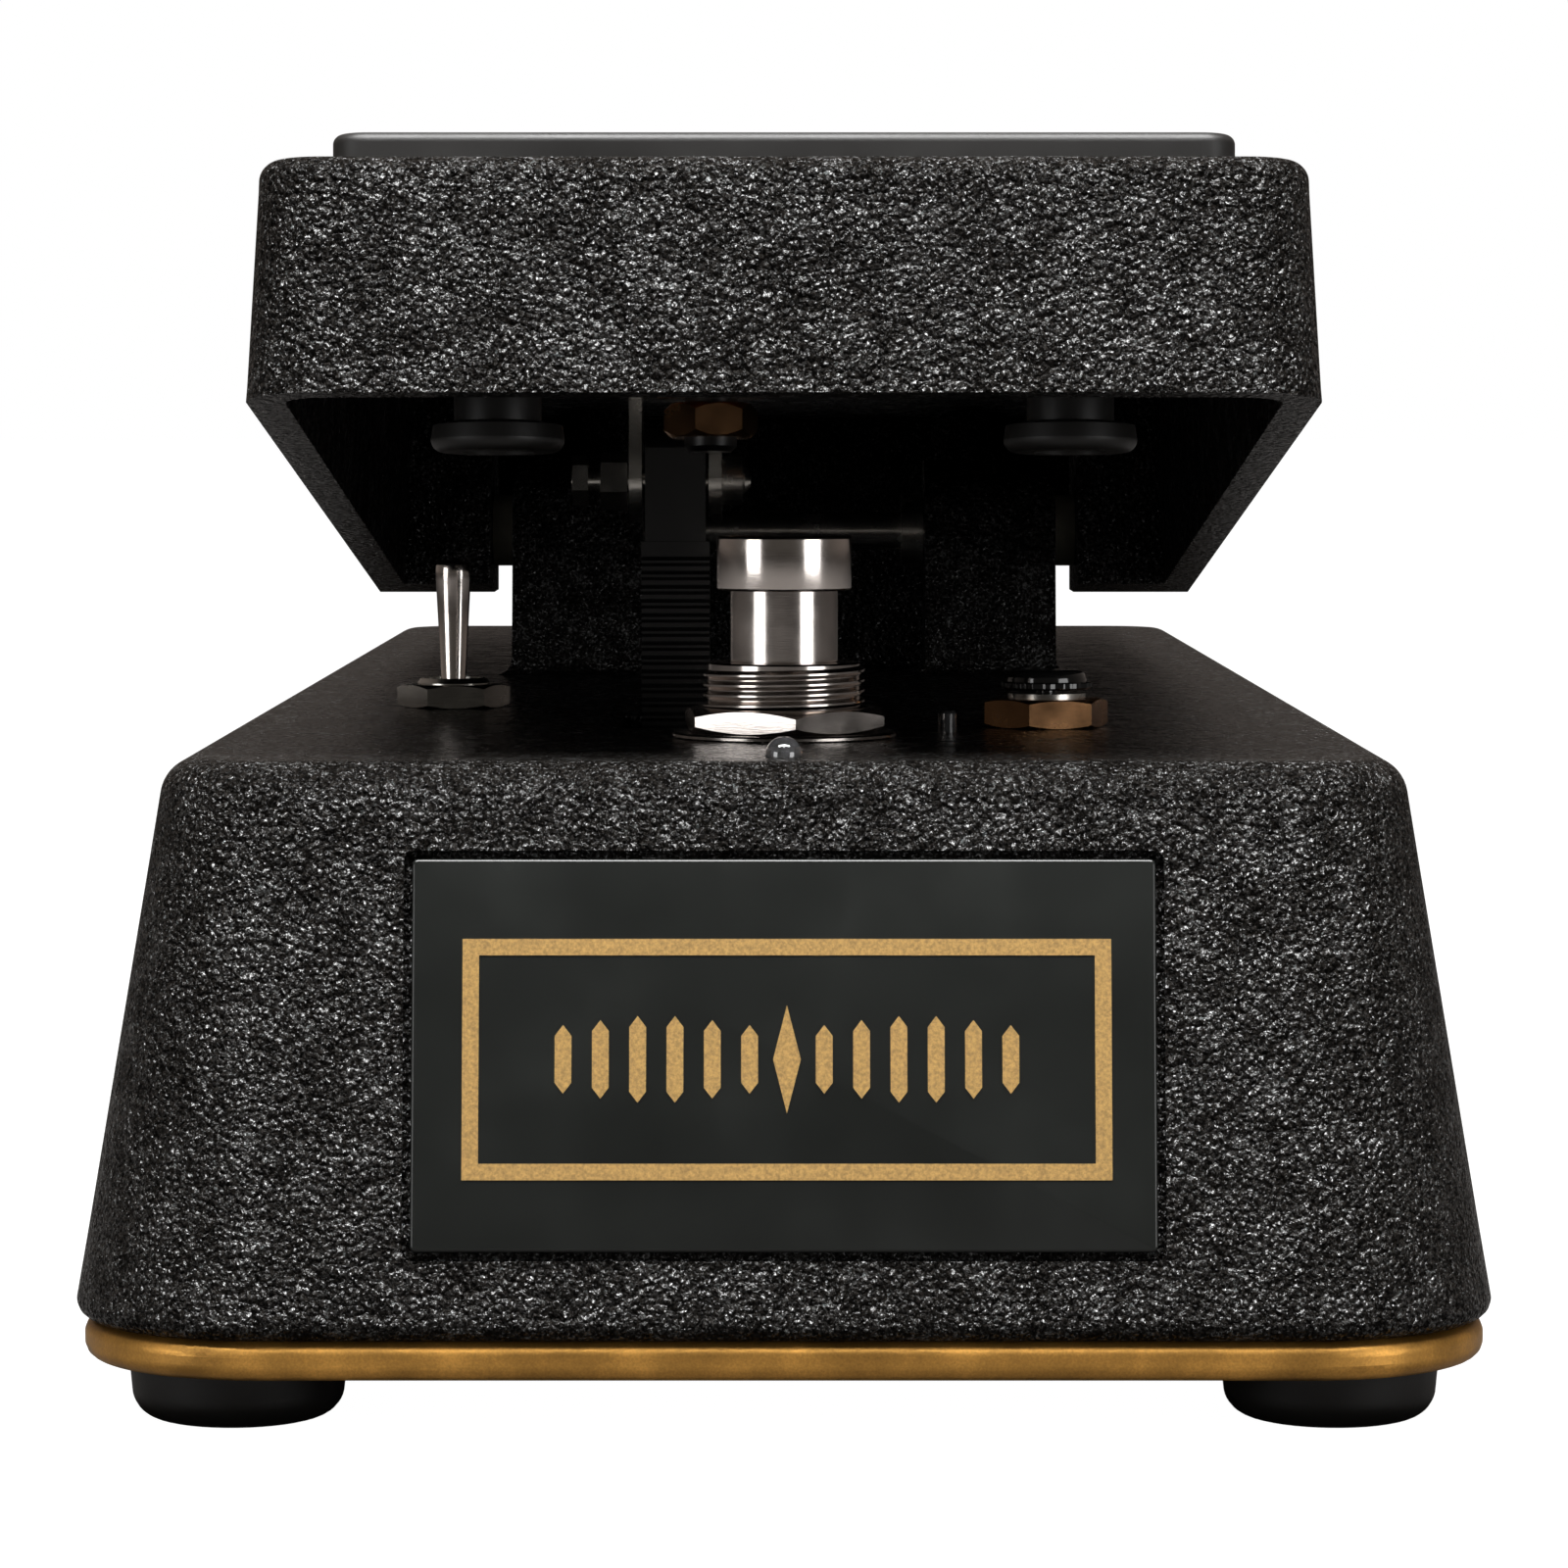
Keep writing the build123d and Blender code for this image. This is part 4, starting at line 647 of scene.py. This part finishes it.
class WAH_OT_name_plate(bpy.types.Operator):
    """Bevel the name plate and print its gold frame and a plain fan ornament on it"""

    bl_idname = "wah.name_plate"
    bl_label = "Name Plate"

    def execute(self, context):
        line = context.scene.wah_piece.frame_line / MM
        place, width, height, thickness = self.place()
        bm = new_mesh()
        made = bmesh.ops.create_cube(bm, size=1.0)
        bmesh.ops.scale(bm, vec=(width * MM, height * MM, thickness * MM), verts=made["verts"])
        bmesh.ops.translate(bm, vec=(0, 0, -thickness / 2 * MM), verts=made["verts"])
        upright = [e for e in bm.edges if abs(e.verts[0].co.z - e.verts[1].co.z) > 0.0005]
        bmesh.ops.bevel(bm, geom=upright, offset=0.4 * MM, segments=4, profile=0.5,
                        affect="EDGES", material=-1)
        top = [e for e in bm.edges if all(v.co.z > -0.0001 for v in e.verts)]
        bmesh.ops.bevel(bm, geom=top, offset=0.22 * MM, segments=3, profile=0.5,
                        affect="EDGES", material=-1)
        bmesh.ops.transform(bm, matrix=place, verts=bm.verts)
        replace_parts(add_piece(bm, "badge_plate", "badge_enamel", "base"), "name_plate")
        bm = new_mesh()
        self.ring(bm, 44.4, 16.5, line)
        self.finish_print(bm, place)
        add_piece(bm, "badge_frame", "gold_print", "base")
        bm = new_mesh()
        self.ornament(bm)
        self.finish_print(bm, place)
        add_piece(bm, "badge_ornament", "gold_print", "base")
        return {"FINISHED"}

    def place(self):
        """The plate's front plane as a matrix, and its size in millimetres."""
        lean = math.radians(9.76)
        up = Vector((0, math.sin(lean), math.cos(lean)))
        out = Vector((0, -math.cos(lean), math.sin(lean)))
        verts = [v.co for v in NODES["name_plate"].data.vertices]
        low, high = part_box("name_plate")
        centre = (low + high) / 2
        heights = [v.dot(up) for v in verts]
        origin = centre + out * (max(v.dot(out) for v in verts) - centre.dot(out))
        origin += up * ((max(heights) + min(heights)) / 2 - origin.dot(up))
        matrix = Matrix((
            (1, up.x, out.x, origin.x), (0, up.y, out.y, origin.y),
            (0, up.z, out.z, origin.z), (0, 0, 0, 1)))
        return matrix, (high.x - low.x) / MM, (max(heights) - min(heights)) / MM, 1.0

    def ring(self, bm, width, height, line):
        """A rectangular frame line, flat, round the middle."""
        made = bmesh.ops.create_grid(bm, x_segments=1, y_segments=1, size=0.5)
        bmesh.ops.scale(bm, vec=(width * MM, height * MM, 1), verts=made["verts"])
        inner = bmesh.ops.inset_region(bm, faces=bm.faces[:], thickness=line * MM,
                                       use_boundary=True, use_even_offset=True)
        keep = set(inner["faces"])
        bmesh.ops.delete(bm, geom=[f for f in bm.faces if f not in keep], context="FACES")

    def ornament(self, bm):
        """A row of pointed bars that rises and falls twice, with a lozenge in the middle."""
        for index in range(-6, 7):
            wide = 1.9 if index == 0 else 1.15
            tall = 7.4 if index == 0 else 4.4 + 1.6 * (0.5 - 0.5 * math.cos(index * math.pi / 3.5))
            tip = tall / 2 if index == 0 else 0.75
            outline = [(0, -tall / 2), (wide / 2, tip - tall / 2), (wide / 2, tall / 2 - tip),
                       (0, tall / 2), (-wide / 2, tall / 2 - tip), (-wide / 2, tip - tall / 2)]
            corners = [bm.verts.new(((index * 2.55 + x) * MM, y * MM, 0)) for x, y in outline]
            bm.faces.new(corners)
        bmesh.ops.remove_doubles(bm, verts=bm.verts, dist=1e-7)

    def finish_print(self, bm, place):
        """Give flat ink its small thickness and lay it on the plate."""
        made = bmesh.ops.extrude_face_region(bm, geom=bm.faces[:])
        raised = [part for part in made["geom"] if isinstance(part, bmesh.types.BMVert)]
        bmesh.ops.translate(bm, vec=(0, 0, 0.05 * MM), verts=raised)
        bmesh.ops.translate(bm, vec=(0.2 * MM, -0.3 * MM, 0), verts=bm.verts)
        bmesh.ops.transform(bm, matrix=place, verts=bm.verts)


# ---- operator: stage ------------------------------------------------------------------------------

def soft_light(name, place, aim, width, height, power, colour=(1, 1, 1)):
    """A rectangular softbox aimed at a point."""
    data = bpy.data.lights.new(name, "AREA")
    data.shape = "RECTANGLE"
    data.size = width
    data.size_y = height
    data.energy = power
    data.color = colour
    light = bpy.data.objects.new(name, data)
    bpy.context.scene.collection.objects.link(light)
    light.location = place
    light.rotation_mode = "QUATERNION"
    light.rotation_quaternion = (Vector(aim) - Vector(place)).to_track_quat("-Z", "Y")
    return light


class WAH_OT_stage(bpy.types.Operator):
    """Set the pale floor, the softboxes, the surroundings and the camera"""

    bl_idname = "wah.stage"
    bl_label = "Stage"

    def execute(self, context):
        settings = context.scene.wah_stage
        self.floor()
        self.surroundings(context.scene)
        power = settings.softbox_power
        aim = (0, -0.09, 0.05)
        soft_light("strip_left", (-0.50, -0.46, 0.12), aim, 0.27, 0.24, power * 0.10)
        soft_light("strip_right", (0.475, -0.49, 0.12), aim, 0.31, 0.24, power * 0.12)
        soft_light("lamp_front", (0.0, -0.72, 0.86), aim, 0.14, 0.14, power * 0.1)
        soft_light("softbox_top", (0, -0.32, 0.80), (0, -0.1, 0.05), 0.9, 0.42, power * 5.0)
        data = bpy.data.cameras.new("camera")
        data.lens = settings.lens
        data.sensor_width = 36.0
        data.clip_start = 0.01
        data.clip_end = 50.0
        camera = bpy.data.objects.new("camera", data)
        context.scene.collection.objects.link(camera)
        camera.location = (0, -settings.camera_distance, settings.camera_height)
        camera.rotation_euler = (math.pi / 2 - settings.camera_pitch, 0, 0)
        context.scene.camera = camera
        context.scene.view_settings.view_transform = "Standard"
        return {"FINISHED"}

    def floor(self):
        """A wide pale floor, seen brighter than it lights the pedal from below."""
        bm = new_mesh()
        bmesh.ops.create_circle(bm, cap_ends=True, segments=64, radius=12.0)
        mesh = bpy.data.meshes.new("floor")
        bm.to_mesh(mesh)
        bm.free()
        finish = Finish("pale_floor")
        finish.set(Base_Color=(0.055, 0.052, 0.05), Roughness=0.8, Specular_IOR_Level=0.2,
                   Emission_Color=(1.0, 1.0, 1.0))
        seen = finish.node("ShaderNodeLightPath").outputs["Is Camera Ray"]
        finish.drive("Emission Strength", finish.maths("MULTIPLY", seen, 1.0))
        mesh.materials.append(finish.material)
        floor = bpy.data.objects.new("floor", mesh)
        bpy.context.scene.collection.objects.link(floor)

    def surroundings(self, scene):
        """A white backdrop round a dim room that is lighter behind the pedal."""
        world = bpy.data.worlds.new("studio")
        world.use_nodes = True
        tree = world.node_tree
        backdrop = tree.nodes["Background"]
        backdrop.inputs["Color"].default_value = (1.0, 1.0, 1.0, 1.0)
        room = tree.nodes.new("ShaderNodeBackground")
        coords = tree.nodes.new("ShaderNodeTexCoord")
        split = tree.nodes.new("ShaderNodeSeparateXYZ")
        shift = tree.nodes.new("ShaderNodeMapRange")
        ramp = tree.nodes.new("ShaderNodeValToRGB")
        seen = tree.nodes.new("ShaderNodeLightPath")
        mix = tree.nodes.new("ShaderNodeMixShader")
        tree.links.new(coords.outputs["Generated"], split.inputs["Vector"])
        tree.links.new(split.outputs["Y"], shift.inputs["Value"])
        shift.inputs["From Min"].default_value = -1.0
        shift.inputs["From Max"].default_value = 1.0
        tree.links.new(shift.outputs["Result"], ramp.inputs["Fac"])
        ramp.color_ramp.elements[0].position = 0.30
        ramp.color_ramp.elements[0].color = (0.07, 0.065, 0.058, 1)
        ramp.color_ramp.elements[1].position = 0.75
        ramp.color_ramp.elements[1].color = (0.17, 0.145, 0.13, 1)
        tree.links.new(ramp.outputs["Color"], room.inputs["Color"])
        tree.links.new(seen.outputs["Is Camera Ray"], mix.inputs["Fac"])
        tree.links.new(room.outputs["Background"], mix.inputs[1])
        tree.links.new(backdrop.outputs["Background"], mix.inputs[2])
        tree.links.new(mix.outputs["Shader"], tree.nodes["World Output"].inputs["Surface"])
        scene.world = world


# ---- panel, registration and the run ----------------------------------------------------------------

PIECE_OPERATORS = (
    WAH_OT_finishes,
    WAH_OT_footswitch,
    WAH_OT_toggle,
    WAH_OT_lights,
    WAH_OT_trim,
    WAH_OT_treadle_nut,
    WAH_OT_name_plate,
    WAH_OT_stage,
)


class WAH_PT_panel(bpy.types.Panel):
    """Sidebar panel that lists the pedal's pieces"""

    bl_idname = "WAH_PT_panel"
    bl_label = "Wah Pedal"
    bl_space_type = "VIEW_3D"
    bl_region_type = "UI"
    bl_category = "Wah Pedal"

    def draw(self, context):
        for operator in PIECE_OPERATORS:
            self.layout.operator(operator.bl_idname)


SETTINGS = {
    "wah_finish": WahFinishSettings,
    "wah_piece": WahPieceSettings,
    "wah_stage": WahStageSettings,
}


def register():
    for name, group in SETTINGS.items():
        bpy.utils.register_class(group)
        setattr(bpy.types.Scene, name, PointerProperty(type=group))
    for operator in PIECE_OPERATORS:
        bpy.utils.register_class(operator)
    bpy.utils.register_class(WAH_PT_panel)


def unregister():
    bpy.utils.unregister_class(WAH_PT_panel)
    for operator in reversed(PIECE_OPERATORS):
        bpy.utils.unregister_class(operator)
    for name, group in SETTINGS.items():
        delattr(bpy.types.Scene, name)
        bpy.utils.unregister_class(group)


def main():
    register()
    for operator in PIECE_OPERATORS:
        group, name = operator.bl_idname.split(".")
        getattr(getattr(bpy.ops, group), name)()


if __name__ == "__main__":
    main()
